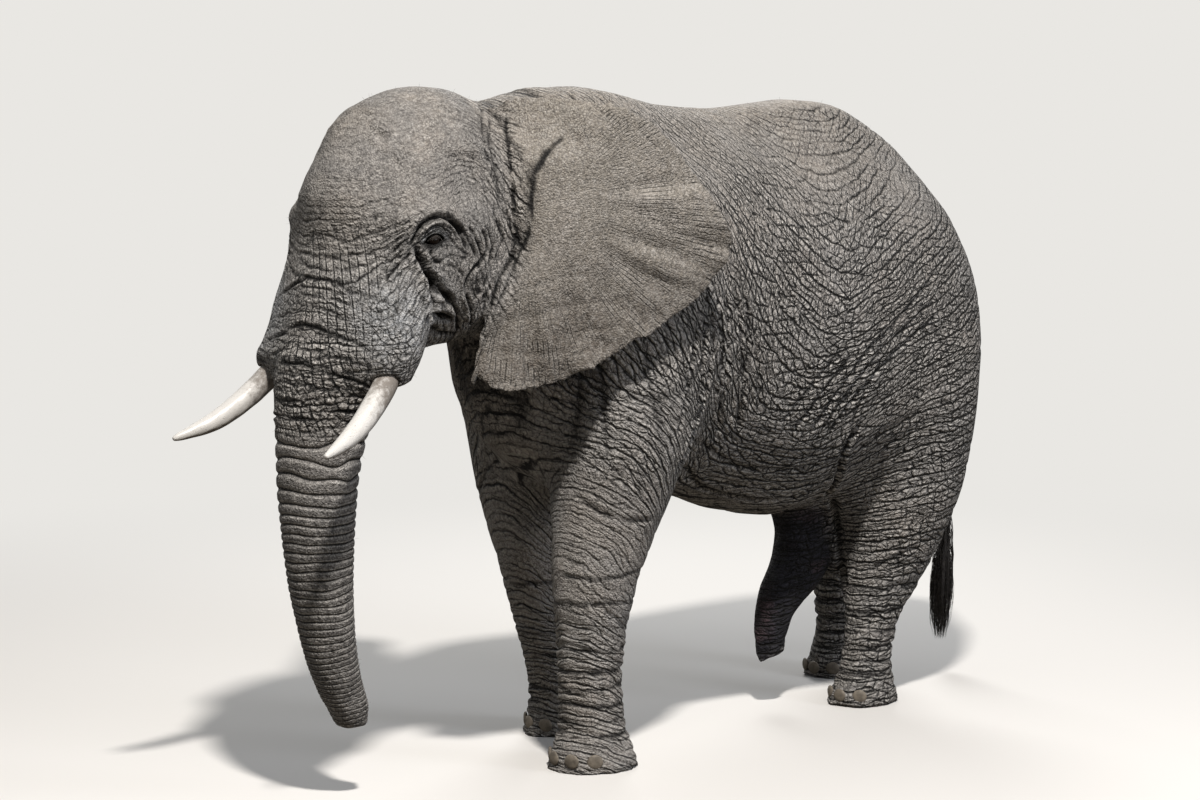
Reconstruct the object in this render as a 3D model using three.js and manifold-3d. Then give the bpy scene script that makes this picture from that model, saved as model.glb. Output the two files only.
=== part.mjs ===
// A bull African bush elephant, life size, standing with its left legs a stride ahead of its right ones.
// Millimetres. +X is the animal's left, -Y is forwards, +Z is up, and the soles stand on one level floor.
import * as THREE from 'three';
import { mergeVertices } from 'three/addons/utils/BufferGeometryUtils.js';
import Module from 'manifold-3d';

const wasm = await Module();
wasm.setup();

// ---------------------------------------------------------------- driving dimensions
const GAP = 0.4; // the thin cut between two nodes
const TOUCH = 1.5; // how far the ears stand off the flesh they grow from
const STRIDE = 480; // how far each left foot stands ahead of its right one
const FRONT_FOOT = { x: 310, y: -950 }; // the left front sole
const HIND_FOOT = { x: 275, y: 1000 }; // the left hind sole
const ANKLE = 250; // the level where a foot is parted from its leg
const EYE = { y: -1950, z: 2335, radius: 30, proud: 14 };
const TUSK = {
  root: [262, -2030, 1990], exit: [345, -2200, 1770], tip: [465, -2640, 1515], radius: 58, sag: 45,
};
const TRUNK_CUTS = [1560, 1120, 700]; // levels that part the trunk into its lengths
const EAR = { root: [415, -1600], spread: 25, rim: 26, thick: 56, cup: 45, seat: 80, dive: 155 };
const NAILS = { front: 4, hind: 3, wide: 44, high: 40, deep: 20, level: 54, fan: 31 };
const TAIL = { reach: 2100, tuft: 650, tip: 120 };
const CELL = { // sizes of the nets' cells along X, Y and Z
  torso: [178, 240, 175], neck: [132, 132, 138], head: [84, 96, 94], trunk: [68, 68, 118],
  leg: [106, 106, 190], foot: [108, 108, 84], sheath: [64, 64, 92],
};

const SKIN = { color: 0x77706a, roughness: 0.9, metalness: 0 };
const EAR_SKIN = { color: 0x7d7268, roughness: 0.9, metalness: 0 };
const DARK_SKIN = { color: 0x3c3735, roughness: 0.7, metalness: 0 };
const IVORY = { color: 0xe6dcc6, roughness: 0.45, metalness: 0 };
const NAIL = { color: 0x8f8578, roughness: 0.6, metalness: 0 };
const HAIR = { color: 0x26221f, roughness: 0.8, metalness: 0 };
const EYEBALL = { color: 0x2a1a10, roughness: 0.15, metalness: 0 };

// ---------------------------------------------------------------- soft forms
// A form is a function of a point that is negative inside, about a distance in millimetres.
const ellipsoid = ([cx, cy, cz], [rx, ry, rz], lean = 0) => {
  const c = Math.cos(THREE.MathUtils.degToRad(lean));
  const s = Math.sin(THREE.MathUtils.degToRad(lean));
  return (x, y, z) => {
    const dx = x - cx;
    const dy = (y - cy) * c - (z - cz) * s;
    const dz = (y - cy) * s + (z - cz) * c;
    const near = Math.hypot(dx / rx, dy / ry, dz / rz);
    const slope = Math.hypot(dx / rx ** 2, dy / ry ** 2, dz / rz ** 2);
    return slope > 0 ? (near * (near - 1)) / slope : -Math.min(rx, ry, rz);
  };
};

const softMin = (a, b, soft) => {
  const h = Math.max(soft - Math.abs(a - b), 0) / soft;
  return Math.min(a, b) - (h * h * soft) / 4;
};

const blend = (soft, ...forms) => (x, y, z) => {
  let d = forms[0](x, y, z);
  for (let i = 1; i < forms.length; i++) d = softMin(d, forms[i](x, y, z), soft);
  return d;
};

const carve = (soft, form, ...hollows) => (x, y, z) => {
  let d = form(x, y, z);
  for (const hollow of hollows) d = -softMin(-d, hollow(x, y, z), soft);
  return d;
};

// One form and its mirror image on the right side.
const pair = (form) => (x, y, z) => form(Math.abs(x), y, z);

const smoothLine = (points, closed = false) =>
  new THREE.CatmullRomCurve3(points.map(([x, y, z]) => new THREE.Vector3(x, y, z)), closed, 'centripetal');

// A smooth limb through stations [x, y, z, radius]; wide is its width over its depth.
const SPANS = 4; // straight lengths between two stations
const limb = (stations, wide = 1) => {
  const line = smoothLine(stations);
  const girth = smoothLine(stations.map(([, , , r], i) => [i * 100, r, 0]));
  const count = (stations.length - 1) * SPANS;
  const joints = Array.from({ length: count + 1 }, (_, i) => (
    { ...line.getPoint(i / count), r: girth.getPoint(i / count).y }));
  const bones = joints.slice(1).map((b, i) => {
    const a = joints[i];
    const [lx, ly, lz] = [b.x - a.x, b.y - a.y, b.z - a.z];
    return { a, lx, ly, lz, lr: b.r - a.r, square: lx * lx + ly * ly + lz * lz };
  });
  return (x, y, z) => {
    let nearest = Infinity;
    for (const { a, lx, ly, lz, lr, square } of bones) {
      const [dx, dy, dz] = [x - a.x, y - a.y, z - a.z];
      const t = Math.min(Math.max((dx * lx + dy * ly + dz * lz) / square, 0), 1);
      const d = Math.hypot((dx - t * lx) / wide, dy - t * ly, dz - t * lz) - a.r - t * lr;
      if (d < nearest) nearest = d;
    }
    return nearest;
  };
};

// ---------------------------------------------------------------- the animal's masses
function torso() {
  const spine = limb([
    [0, -1300, 2690, 190], [0, -880, 2790, 172], [0, -300, 2720, 150], [0, 120, 2685, 145],
    [0, 720, 2760, 140], [0, 1050, 2680, 165], [0, 1450, 2330, 190], [0, 1680, 2080, 150],
  ], 1.15);
  return blend(210,
    ellipsoid([0, -250, 1950], [600, 1000, 840]), // rib cage
    ellipsoid([0, 520, 1778], [682, 900, 850], 6), // belly
    ellipsoid([0, 780, 2250], [400, 620, 520]), // loin
    ellipsoid([0, -850, 2450], [310, 480, 410]), // withers
    ellipsoid([0, 1230, 1940], [450, 580, 640], -16), // croup
    pair(ellipsoid([190, 1500, 1780], [210, 270, 480], -4)), // buttock
    ellipsoid([0, -900, 1740], [390, 370, 480]), // chest
    pair(ellipsoid([350, -700, 2020], [250, 380, 620], 8)), // shoulder blade
    pair(ellipsoid([320, 1180, 1720], [290, 480, 720], -8)), // haunch
    spine,
  );
}

function neck() {
  return limb([[0, -1050, 2350, 500], [0, -1300, 2380, 460], [0, -1500, 2410, 440]], 0.84);
}

function head() {
  const dome = ellipsoid([0, -1688, 2535], [362, 452, 420]);
  const forehead = ellipsoid([0, -1945, 2455], [300, 318, 398]);
  const brow = pair(ellipsoid([285, -1910, 2430], [95, 150, 100]));
  const cheek = pair(ellipsoid([240, -1690, 2210], [150, 260, 260]));
  const jaw = pair(limb([[170, -1560, 2100, 165], [90, -1850, 1965, 105], [15, -2000, 1940, 62]]));
  const sheath = pair(limb([[150, -1960, 2280, 190], [255, -2080, 2010, 155], [330, -2165, 1830, 105]]));
  const temple = pair(ellipsoid([430, -1760, 2560], [110, 150, 130]));
  const socket = pair(ellipsoid([462, EYE.y - 5, EYE.z], [110, 100, 88]));
  const mouth = pair(limb([[330, -1880, 2100, 22], [290, -1940, 1990, 34], [240, -1990, 1850, 42]]));
  return carve(40, blend(130, dome, forehead, brow, cheek, sheath, jaw), temple, socket, mouth);
}

function trunk() {
  const root = limb([[0, -1980, 2330, 240], [0, -2100, 1990, 228], [0, -2185, 1740, 190]], 1.35);
  const tube = limb([
    [0, -1960, 2330, 250], [0, -2105, 1980, 235], [0, -2215, 1700, 206], [0, -2262, 1400, 172],
    [0, -2262, 1040, 144], [0, -2228, 750, 121], [0, -2160, 500, 98], [0, -2075, 330, 76],
  ]);
  return blend(60, root, tube);
}

// side is 1 on the left and -1 on the right; back is how far the foot stands behind the left one.
function frontLeg(side, back) {
  const { x, y } = FRONT_FOOT;
  const at = (dx, dy, share, z, r) => [side * (x + dx), y + dy + back * share, z, r];
  const column = limb([
    at(60, 230, 0.15, 1850, 290), at(60, 150, 0.3, 1460, 290), at(40, 70, 0.45, 1180, 252),
    at(12, 10, 0.61, 900, 202), at(0, -15, 0.75, 600, 163), at(0, -15, 0.9, 300, 144), at(0, 0, 1, 90, 170),
  ], 0.96);
  return blend(60, column, ellipsoid(at(0, 0, 1, 0), [200, 230, 120]));
}

function hindLeg(side, back) {
  const { x, y } = HIND_FOOT;
  const at = (dx, dy, share, z, r) => [side * (x + dx), y + dy + back * share, z, r];
  const column = limb([
    at(60, 230, 0.1, 1600, 330), at(60, 240, 0.25, 1200, 320), at(35, 190, 0.5, 900, 270),
    at(10, 150, 0.75, 680, 205), at(0, 75, 0.9, 480, 155), at(0, 20, 1, 280, 128), at(0, 0, 1, 90, 145),
  ], 0.92);
  return blend(60, column, ellipsoid(at(0, -15, 1, 0), [165, 210, 110]));
}

// The sheath that hangs between a bull's hind legs.
function pizzle() {
  return limb([[0, 890, 890, 158], [0, 850, 690, 148], [0, 665, 480, 102], [0, 605, 265, 74]], 0.9);
}

const FRONT_RANGE = [-1520, -180]; // how far forward and back the shoulders' cuts reach
const HIND_RANGE = [640, 2200]; // and those of the hips
const sideName = (side) => (side > 0 ? 'left' : 'right');
const foot = (end, side, { x, y }, back, form, nails, range) => ({
  name: `${end}_${sideName(side)}`, side, x: side * x, y: y + back, form: form(side, back), nails, range,
});
const LEGS = [[1, 0], [-1, STRIDE]].flatMap(([side, back]) => [
  foot('front', side, FRONT_FOOT, back, frontLeg, NAILS.front, FRONT_RANGE),
  foot('hind', side, HIND_FOOT, back, hindLeg, NAILS.hind, HIND_RANGE),
]);

const BODY = blend(110, torso(), neck(), head(), trunk(), ...LEGS.map((leg) => leg.form), pizzle());


// ---------------------------------------------------------------- from forms to closed meshes
// A closed net over form's surface inside box, one corner to each cell that the surface crosses.
function netOf(form, box, cell) {
  const size = box.getSize(new THREE.Vector3()).toArray();
  const [nx, ny, nz] = size.map((length, axis) => Math.ceil(length / cell[axis]) + 2);
  const at = (i, j, k) => (k * ny + j) * nx + i;
  const low = box.min.toArray();
  const place = (...spot) => spot.map((n, axis) => low[axis] + (n - 0.5) * cell[axis]);
  const least = Math.min(...cell);
  const value = new Float64Array(nx * ny * nz);
  for (let k = 0; k < nz; k++) {
    for (let j = 0; j < ny; j++) {
      for (let i = 0; i < nx; i++) {
        const edge = i === 0 || j === 0 || k === 0 || i === nx - 1 || j === ny - 1 || k === nz - 1;
        const d = form(...place(i, j, k));
        value[at(i, j, k)] = edge ? Math.max(d, least / 2) : d;
      }
    }
  }
  fillSaddles(value, at, [nx, ny, nz]);
  const corner = new Int32Array(nx * ny * nz).fill(-1);
  const points = [];
  for (let k = 0; k < nz - 1; k++) {
    for (let j = 0; j < ny - 1; j++) {
      for (let i = 0; i < nx - 1; i++) {
        const point = crossing(value, at, place, i, j, k);
        if (!point) continue;
        corner[at(i, j, k)] = points.length / 3;
        points.push(...settle(form, point, least / 3));
      }
    }
  }
  const faces = [];
  const steps = [[1, 0, 0], [0, 1, 0], [0, 0, 1]];
  for (let k = 0; k < nz - 1; k++) {
    for (let j = 0; j < ny - 1; j++) {
      for (let i = 0; i < nx - 1; i++) {
        steps.forEach(([a, b, c], axis) => {
          const spot = [i, j, k];
          if (spot[(axis + 1) % 3] === 0 || spot[(axis + 2) % 3] === 0) return;
          const here = value[at(i, j, k)] < 0;
          if (here === value[at(i + a, j + b, k + c)] < 0) return;
          const [p, q] = [steps[(axis + 1) % 3], steps[(axis + 2) % 3]];
          const quad = [[0, 0], [1, 0], [1, 1], [0, 1]].map(([m, n]) =>
            corner[at(i - m * p[0] - n * q[0], j - m * p[1] - n * q[1], k - m * p[2] - n * q[2])]);
          if (!here) quad.reverse();
          faces.push(quad[0], quad[1], quad[2], quad[0], quad[2], quad[3]);
        });
      }
    }
  }
  const geometry = new THREE.BufferGeometry();
  geometry.setAttribute('position', new THREE.Float32BufferAttribute(points, 3));
  geometry.setIndex(faces);
  return geometry;
}

// Where a lattice square is inside at two opposite corners only, its nearest outer corner is filled,
// because the net would touch itself there.
function fillSaddles(value, at, [nx, ny, nz]) {
  const squares = [[[1, 0, 0], [0, 1, 0]], [[0, 1, 0], [0, 0, 1]], [[0, 0, 1], [1, 0, 0]]];
  for (let pass = 0; pass < 3; pass++) {
    for (let k = 1; k < nz - 2; k++) {
      for (let j = 1; j < ny - 2; j++) {
        for (let i = 1; i < nx - 2; i++) {
          for (const [p, q] of squares) {
            const spots = [[0, 0], [1, 0], [1, 1], [0, 1]].map(([m, n]) =>
              at(i + m * p[0] + n * q[0], j + m * p[1] + n * q[1], k + m * p[2] + n * q[2]));
            const [a, b, c, d] = spots.map((spot) => value[spot] < 0);
            if (a !== c || b !== d || a === b) continue;
            const outer = a ? [spots[1], spots[3]] : [spots[0], spots[2]];
            const nearest = value[outer[0]] < value[outer[1]] ? outer[0] : outer[1];
            value[nearest] = -1;
          }
        }
      }
    }
  }
}

const CELL_CORNERS = [0, 1, 2, 3, 4, 5, 6, 7].map((n) => [n & 1, (n >> 1) & 1, n >> 2]);
const CELL_EDGES = CELL_CORNERS.flatMap((a, m) => CELL_CORNERS.map((b, n) => [m, n])
  .filter(([, n]) => n > m && [1, 2, 4].includes(n ^ m)));

// The point moved along the form's slope onto its surface, or left where that is further than most.
function settle(form, point, most) {
  const step = 4;
  let moved = point;
  for (let pass = 0; pass < 2; pass++) {
    const slope = [0, 1, 2].map((axis) => {
      const [ahead, back] = [1, -1].map((way) => moved.map((v, i) => (i === axis ? v + way * step : v)));
      return (form(...ahead) - form(...back)) / (2 * step);
    });
    const square = slope.reduce((sum, v) => sum + v * v, 0);
    if (square < 0.05) return point;
    const d = form(...moved);
    moved = moved.map((v, i) => v - (d * slope[i]) / square);
  }
  return Math.hypot(...moved.map((v, i) => v - point[i])) < most ? moved : point;
}

// The mean of the points where the surface crosses the edges of one cell, or null if it doesn't.
function crossing(value, at, place, i, j, k) {
  const sum = [0, 0, 0];
  let count = 0;
  for (const [m, n] of CELL_EDGES) {
    const a = CELL_CORNERS[m];
    const b = CELL_CORNERS[n];
    const va = value[at(i + a[0], j + a[1], k + a[2])];
    const vb = value[at(i + b[0], j + b[1], k + b[2])];
    if (va < 0 === vb < 0) continue;
    const t = va / (va - vb);
    const pa = place(i + a[0], j + a[1], k + a[2]);
    const pb = place(i + b[0], j + b[1], k + b[2]);
    for (let c = 0; c < 3; c++) sum[c] += pa[c] + t * (pb[c] - pa[c]);
    count++;
  }
  return count ? sum.map((s) => s / count) : null;
}

// ---------------------------------------------------------------- solids
const bare = (geometry) => {
  geometry.deleteAttribute('normal');
  geometry.deleteAttribute('uv');
  return mergeVertices(geometry, 0.001);
};

const solidOf = (geometry) => new wasm.Manifold(new wasm.Mesh({
  numProp: 3,
  vertProperties: Float32Array.from(geometry.attributes.position.array),
  triVerts: Uint32Array.from(geometry.index.array),
}));

const geometryOf = (solid) => {
  const { numProp, vertProperties, triVerts } = solid.getMesh();
  const points = [];
  for (let i = 0; i < vertProperties.length; i += numProp) points.push(...vertProperties.slice(i, i + 3));
  const geometry = new THREE.BufferGeometry();
  geometry.setAttribute('position', new THREE.Float32BufferAttribute(points, 3));
  geometry.setIndex(Array.from(triVerts));
  return mergeVertices(geometry, 0.001);
};

// Only the largest connected body of a geometry, without the chips that a cut can leave.
function mainBody(geometry) {
  const faces = geometry.index.array;
  const parent = Array.from({ length: geometry.attributes.position.count }, (_, i) => i);
  const find = (i) => {
    while (parent[i] !== i) {
      parent[i] = parent[parent[i]];
      i = parent[i];
    }
    return i;
  };
  for (let f = 0; f < faces.length; f += 3) {
    parent[find(faces[f])] = find(faces[f + 1]);
    parent[find(faces[f + 1])] = find(faces[f + 2]);
  }
  const sizes = new Map();
  for (let f = 0; f < faces.length; f += 3) sizes.set(find(faces[f]), (sizes.get(find(faces[f])) ?? 0) + 1);
  const largest = [...sizes].sort((a, b) => b[1] - a[1])[0][0];
  const kept = [];
  for (let f = 0; f < faces.length; f += 3) {
    if (find(faces[f]) === largest) kept.push(faces[f], faces[f + 1], faces[f + 2]);
  }
  geometry.setIndex(kept);
  return geometry;
}

// A block between two corners, turned by lean degrees about the X axis through pivot [y, z].
function block(low, high, lean = 0, pivot = [0, 0]) {
  const size = high.map((h, i) => h - low[i]);
  const geometry = new THREE.BoxGeometry(...size);
  geometry.translate(...low.map((l, i) => l + size[i] / 2));
  geometry.translate(0, -pivot[0], -pivot[1]);
  geometry.rotateX(THREE.MathUtils.degToRad(lean));
  geometry.translate(0, pivot[0], pivot[1]);
  return solidOf(bare(geometry));
}

// A closed tube along a curve, its ends closed by fans.
function tube(curve, steps, sides, radiusAt, wide = 1) {
  const frames = curve.computeFrenetFrames(steps, false);
  const points = [];
  for (let i = 0; i <= steps; i++) {
    const centre = curve.getPointAt(i / steps);
    for (let j = 0; j < sides; j++) {
      const angle = (2 * Math.PI * j) / sides;
      const [a, b] = [Math.cos(angle) * radiusAt(i / steps), Math.sin(angle) * radiusAt(i / steps)];
      const offset = frames.normals[i].clone().multiplyScalar(a).addScaledVector(frames.binormals[i], b);
      points.push(centre.x + offset.x * wide, centre.y + offset.y, centre.z + offset.z);
    }
  }
  const faces = [];
  for (let i = 0; i < steps; i++) {
    for (let j = 0; j < sides; j++) {
      const [a, b] = [i * sides + j, i * sides + ((j + 1) % sides)];
      faces.push(a, b, a + sides, b, b + sides, a + sides);
    }
  }
  const start = points.length / 3;
  points.push(...curve.getPointAt(0).toArray(), ...curve.getPointAt(1).toArray());
  for (let j = 0; j < sides; j++) {
    const next = (j + 1) % sides;
    faces.push(start, next, j, start + 1, steps * sides + j, steps * sides + next);
  }
  const geometry = new THREE.BufferGeometry();
  geometry.setAttribute('position', new THREE.Float32BufferAttribute(points, 3));
  geometry.setIndex(faces);
  return geometry;
}

// Where a ray from inside a form leaves it.
function leave(form, from, direction) {
  let [near, far] = [0, 1000];
  const at = (t) => from.map((v, i) => v + direction[i] * t);
  for (let i = 0; i < 30; i++) {
    const middle = (near + far) / 2;
    if (form(...at(middle)) < 0) near = middle;
    else far = middle;
  }
  return at(near);
}

// ---------------------------------------------------------------- eyes, tusks, ears, tail and nails
function eye(side, grow = 0) {
  const centre = leave(BODY, [0, EYE.y, EYE.z], [1, 0, 0]);
  const geometry = new THREE.SphereGeometry(EYE.radius + grow, 12, 6);
  geometry.translate(side * (centre[0] - EYE.radius + EYE.proud), EYE.y, EYE.z);
  return bare(geometry);
}

function tusk(side, grow = 0) {
  const place = ([x, y, z]) => new THREE.Vector3(side * x, y, z);
  const [root, exit, tip] = [place(TUSK.root), place(TUSK.exit), place(TUSK.tip)];
  root.addScaledVector(root.clone().sub(exit).normalize(), grow);
  const middle = exit.clone().lerp(tip, 0.55).add(new THREE.Vector3(0, 0, -TUSK.sag));
  const curve = smoothLine([root, exit, middle, tip].map((p) => p.toArray()));
  return tube(curve, 9, 9, (t) => (TUSK.radius + grow) * (1 - 0.16 * t - 0.62 * t ** 5));
}

// The ear's margin in its own plane: [behind the root, above the floor].
const EAR_MARGIN = smoothLine([
  [-15, 2790], [-25, 2610], [-25, 2440], [-22, 2270], [-38, 2120], [-95, 1940], [-122, 1765], [-40, 1690],
  [90, 1690], [260, 1722], [440, 1795], [660, 1912], [880, 2048], [965, 2130], [1058, 2275], [1000, 2400],
  [885, 2570], [705, 2775], [520, 2880], [250, 2912], [40, 2895],
].map(([s, z]) => [s, 0, z]), true);
const EAR_HUB = { s: 380, z: 2350 };

// How far the ear's middle sheet stands out of its plane: a shallow cup with a waved rear edge.
const earBow = (s, z) => {
  const [u, v] = [s / 1000, (z - 2300) / 1000];
  return EAR.cup * (Math.sin(Math.PI * u) - 0.6 * u) + 26 * Math.sin(9 * v + 1) * u * u;
};

function ear(side) {
  const [steps, rings] = [28, [1, 0.82, 0.58, 0.3]];
  const spread = THREE.MathUtils.degToRad(EAR.spread);
  const { smoothstep } = THREE.MathUtils;
  const lift = (s, z, out) => {
    const top = smoothstep(z, 2600, 2930);
    const reach = EAR.seat + 100 + 300 * top;
    const held = (1 - smoothstep(s, EAR.seat - 100, reach)) * smoothstep(z, 2120, 2290);
    const dive = EAR.dive * (1 + top) * held;
    return [
      side * (EAR.root[0] + s * Math.sin(spread) + out * Math.cos(spread) - dive * 0.9),
      EAR.root[1] + s * Math.cos(spread) - out * Math.sin(spread) + dive * 0.45, z,
    ];
  };
  const sheet = (s, z, face) => {
    const near = Math.max(0, 1 - Math.hypot(s - 60, z - 2450) / 520);
    return lift(s, z, earBow(s, z) + face * (EAR.rim + (EAR.thick - EAR.rim) * near) / 2);
  };
  const points = [];
  for (const face of [1, -1]) {
    for (const ring of rings) {
      for (let i = 0; i < steps; i++) {
        const { x: s, z } = EAR_MARGIN.getPoint(i / steps);
        points.push(...sheet(EAR_HUB.s + (s - EAR_HUB.s) * ring, EAR_HUB.z + (z - EAR_HUB.z) * ring, face));
      }
    }
    points.push(...sheet(EAR_HUB.s, EAR_HUB.z, face));
  }
  const layer = steps * rings.length + 1;
  const faces = [];
  const add = (a, b, c, flip) => faces.push(...(flip === (side < 0) ? [a, b, c] : [a, c, b]));
  for (let i = 0; i < steps; i++) {
    const next = (i + 1) % steps;
    for (const [base, flip] of [[0, false], [layer, true]]) {
      rings.slice(1).forEach((_, ring) => {
        const [outer, inner] = [base + ring * steps, base + (ring + 1) * steps];
        add(outer + i, outer + next, inner + i, flip);
        add(outer + next, inner + next, inner + i, flip);
      });
      const innermost = base + (rings.length - 1) * steps;
      add(innermost + i, innermost + next, base + layer - 1, flip);
    }
    add(i, layer + i, next, false);
    add(next, layer + i, layer + next, false);
  }
  const geometry = new THREE.BufferGeometry();
  geometry.setAttribute('position', new THREE.Float32BufferAttribute(points, 3));
  geometry.setIndex(faces);
  return geometry;
}

// A value that runs evenly through the ones given as t goes from 0 to 1.
const steady = (...values) => (t) => {
  const place = Math.min(t * (values.length - 1), values.length - 1.0001);
  const i = Math.floor(place);
  return values[i] + (values[i + 1] - values[i]) * (place - i);
};

function tail(grow = 0) {
  const curve = smoothLine([
    [0, 1660 - grow, 2220], [0, 1880, 2120], [0, 1995, 1880], [0, 2070, 1560], [0, TAIL.reach, 1200],
    [0, 2050, 900], [0, 1998, TAIL.tuft - 20],
  ]);
  const radius = steady(82, 70, 55, 44, 35, 29, 25);
  return tube(curve, 12, 8, (t) => radius(t) + grow);
}

function tuft() {
  const curve = smoothLine([[0, 2002, TAIL.tuft + 20], [0, 1972, 400], [0, 1970, TAIL.tip]]);
  return tube(curve, 6, 8, steady(27, 34, 43, 47, 44, 34, 12), 0.8);
}

function nail({ form, x, y }, turn, grow = 0) {
  const angle = THREE.MathUtils.degToRad(turn);
  const [px, py, pz] = leave(form, [x, y, NAILS.level], [Math.sin(angle), -Math.cos(angle), 0]);
  const geometry = new THREE.SphereGeometry(1, 6, 4);
  geometry.scale(NAILS.wide + grow, NAILS.deep + grow, NAILS.high + grow);
  geometry.rotateZ(angle);
  geometry.translate(px - 4 * Math.sin(angle), py + 4 * Math.cos(angle), pz);
  return bare(geometry);
}

// ---------------------------------------------------------------- the animal as named nodes
const group = new THREE.Group();

function put(name, geometry, material) {
  const shown = geometry.toNonIndexed();
  shown.computeVertexNormals();
  const mesh = new THREE.Mesh(shown, new THREE.MeshStandardMaterial(material));
  mesh.name = name;
  group.add(mesh);
}

const WIDE = 1200; // wider than the animal to either side
const box3 = (low, high) => new THREE.Box3(new THREE.Vector3(...low), new THREE.Vector3(...high));
const fleshIn = (low, high, cell, grow = 0) =>
  solidOf(netOf((x, y, z) => BODY(x, y, z) - grow, box3(low, high), cell));
const keep = (flesh, region) => mainBody(geometryOf(flesh.intersect(region)));

// The head ends at a slanting cut behind the jaw and the neck at one before the shoulders.
const HEAD_CUT = { y: -1470, z: 2300, lean: -8 };
const NECK_CUT = { y: -1090, z: 2300, lean: -12 };
const ahead = ({ y, z, lean }) => block([-WIDE, -4000, -2000], [WIDE, y - GAP / 2, 6000], lean, [y, z]);
const behind = ({ y, z, lean }) => block([-WIDE, y + GAP / 2, -2000], [WIDE, 4000, 6000], lean, [y, z]);

const HEAD_BOX = [[-620, -2560, 1380], [620, -1180, 3060]];
const NECK_BOX = [[-700, -1700, 1300], [700, -760, 3100]];
const earBed = fleshIn(...HEAD_BOX, CELL.head, TOUCH).add(fleshIn(...NECK_BOX, CELL.neck, TOUCH));
const aboveTrunk = block([-WIDE, -4000, TRUNK_CUTS[0] + GAP / 2], [WIDE, 0, 4000]);

let headFlesh = fleshIn(...HEAD_BOX, CELL.head).intersect(ahead(HEAD_CUT)).intersect(aboveTrunk);
for (const side of [1, -1]) {
  headFlesh = headFlesh.subtract(solidOf(eye(side, GAP))).subtract(solidOf(tusk(side, GAP)));
  const name = sideName(side);
  put(`eye_${name}`, eye(side), EYEBALL);
  put(`tusk_${name}`, tusk(side), IVORY);
  put(`ear_${name}`, mainBody(geometryOf(solidOf(ear(side)).subtract(earBed))), EAR_SKIN);
}
put('head', mainBody(geometryOf(headFlesh)), SKIN);
const neckRegion = behind(HEAD_CUT).intersect(ahead(NECK_CUT));
put('neck', keep(fleshIn(...NECK_BOX, CELL.neck), neckRegion), SKIN);

const trunkLevels = [...TRUNK_CUTS, 0];
['upper', 'middle', 'lower'].forEach((name, i) => {
  const [top, bottom] = [trunkLevels[i] - GAP / 2, trunkLevels[i + 1] + GAP / 2];
  const flesh = fleshIn([-260, -2520, 150], [260, -1900, TRUNK_CUTS[0] + 120], CELL.trunk);
  put(`trunk_${name}`, keep(flesh, block([-WIDE, -4000, bottom], [WIDE, 0, top])), SKIN);
});

// A leg's region reaches up and out over the shoulder or hip from the groin.
const legRegion = ({ side, range }, inset) => {
  const [front, rear] = range;
  const shape = new THREE.Shape([
    [inset, -100], [inset, 1060 - inset], [760, 1780 - inset], [WIDE, 1780 - inset], [WIDE, -100],
  ].map(([x, z]) => new THREE.Vector2(side * x, z)));
  const geometry = new THREE.ExtrudeGeometry(shape, { depth: rear - front - 2 * inset, bevelEnabled: false });
  geometry.rotateX(Math.PI / 2);
  geometry.translate(0, rear - inset, 0);
  return solidOf(bare(geometry));
};

const SHEATH_REGION = { wide: 135, front: 480, rear: 1010, top: 770 };
const sheathRegion = (inset) => {
  const { wide, front, rear, top } = SHEATH_REGION;
  return block([inset - wide, front + inset, 100], [wide - inset, rear - inset, top - inset]);
};
const sheathFlesh = fleshIn([-160, 420, 150], [160, 1060, 900], CELL.sheath);
put('genital_sheath', keep(sheathFlesh, sheathRegion(GAP / 2)), DARK_SKIN);

const TORSO_BOX = [[-780, -1700, 800], [780, 2200, 3080]];
let torsoFlesh = fleshIn(...TORSO_BOX, CELL.torso).intersect(behind(NECK_CUT));
for (const leg of LEGS) {
  const [front, rear] = leg.range;
  const out = leg.side * (WIDE - 400);
  torsoFlesh = torsoFlesh.subtract(legRegion(leg, -GAP / 2));
  const low = [Math.min(out, 0) - 120, front - 80];
  const high = [Math.max(out, 0) + 120, rear + 80];
  const own = legRegion(leg, GAP / 2).subtract(sheathRegion(-GAP / 2));
  const upright = own.intersect(block([-WIDE, -4000, ANKLE + GAP / 2], [WIDE, 4000, 4000]));
  put(`leg_${leg.name}`, keep(fleshIn([...low, 60], [...high, 1900], CELL.leg), upright), SKIN);
  const sole = own.intersect(block([-WIDE, -4000, 0], [WIDE, 4000, ANKLE - GAP / 2]));
  let footFlesh = fleshIn([...low, -100], [...high, 380], CELL.foot).intersect(sole);
  for (let i = 0; i < leg.nails; i++) {
    const turn = (i - (leg.nails - 1) / 2) * NAILS.fan;
    footFlesh = footFlesh.subtract(solidOf(nail(leg, turn, GAP)));
    put(`nail_${leg.name}_${i + 1}`, nail(leg, turn), NAIL);
  }
  put(`foot_${leg.name}`, mainBody(geometryOf(footFlesh)), SKIN);
}
put('torso', mainBody(geometryOf(torsoFlesh.subtract(solidOf(tail(GAP))))), SKIN);

const aboveTuft = block([-WIDE, 0, TAIL.tuft], [WIDE, 4000, 4000]);
const belowTail = block([-WIDE, 0, 0], [WIDE, 4000, TAIL.tuft - GAP]);
put('tail', geometryOf(solidOf(tail()).intersect(aboveTuft)), SKIN);
put('tail_tuft', geometryOf(solidOf(tuft()).intersect(belowTail)), HAIR);

// The origin lies on the floor under the middle of the animal's bounds.
const bounds = new THREE.Box3().setFromObject(group);
const middle = bounds.getCenter(new THREE.Vector3());
group.position.set(-middle.x, -middle.y, -bounds.min.z);

export default group;
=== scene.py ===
"""A life-size museum elephant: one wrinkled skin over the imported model, with eyes, tusks, nails and hair."""

import math
from functools import partial
from types import SimpleNamespace

import bpy
import numpy as np
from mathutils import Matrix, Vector
from mathutils.bvhtree import BVHTree


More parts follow.
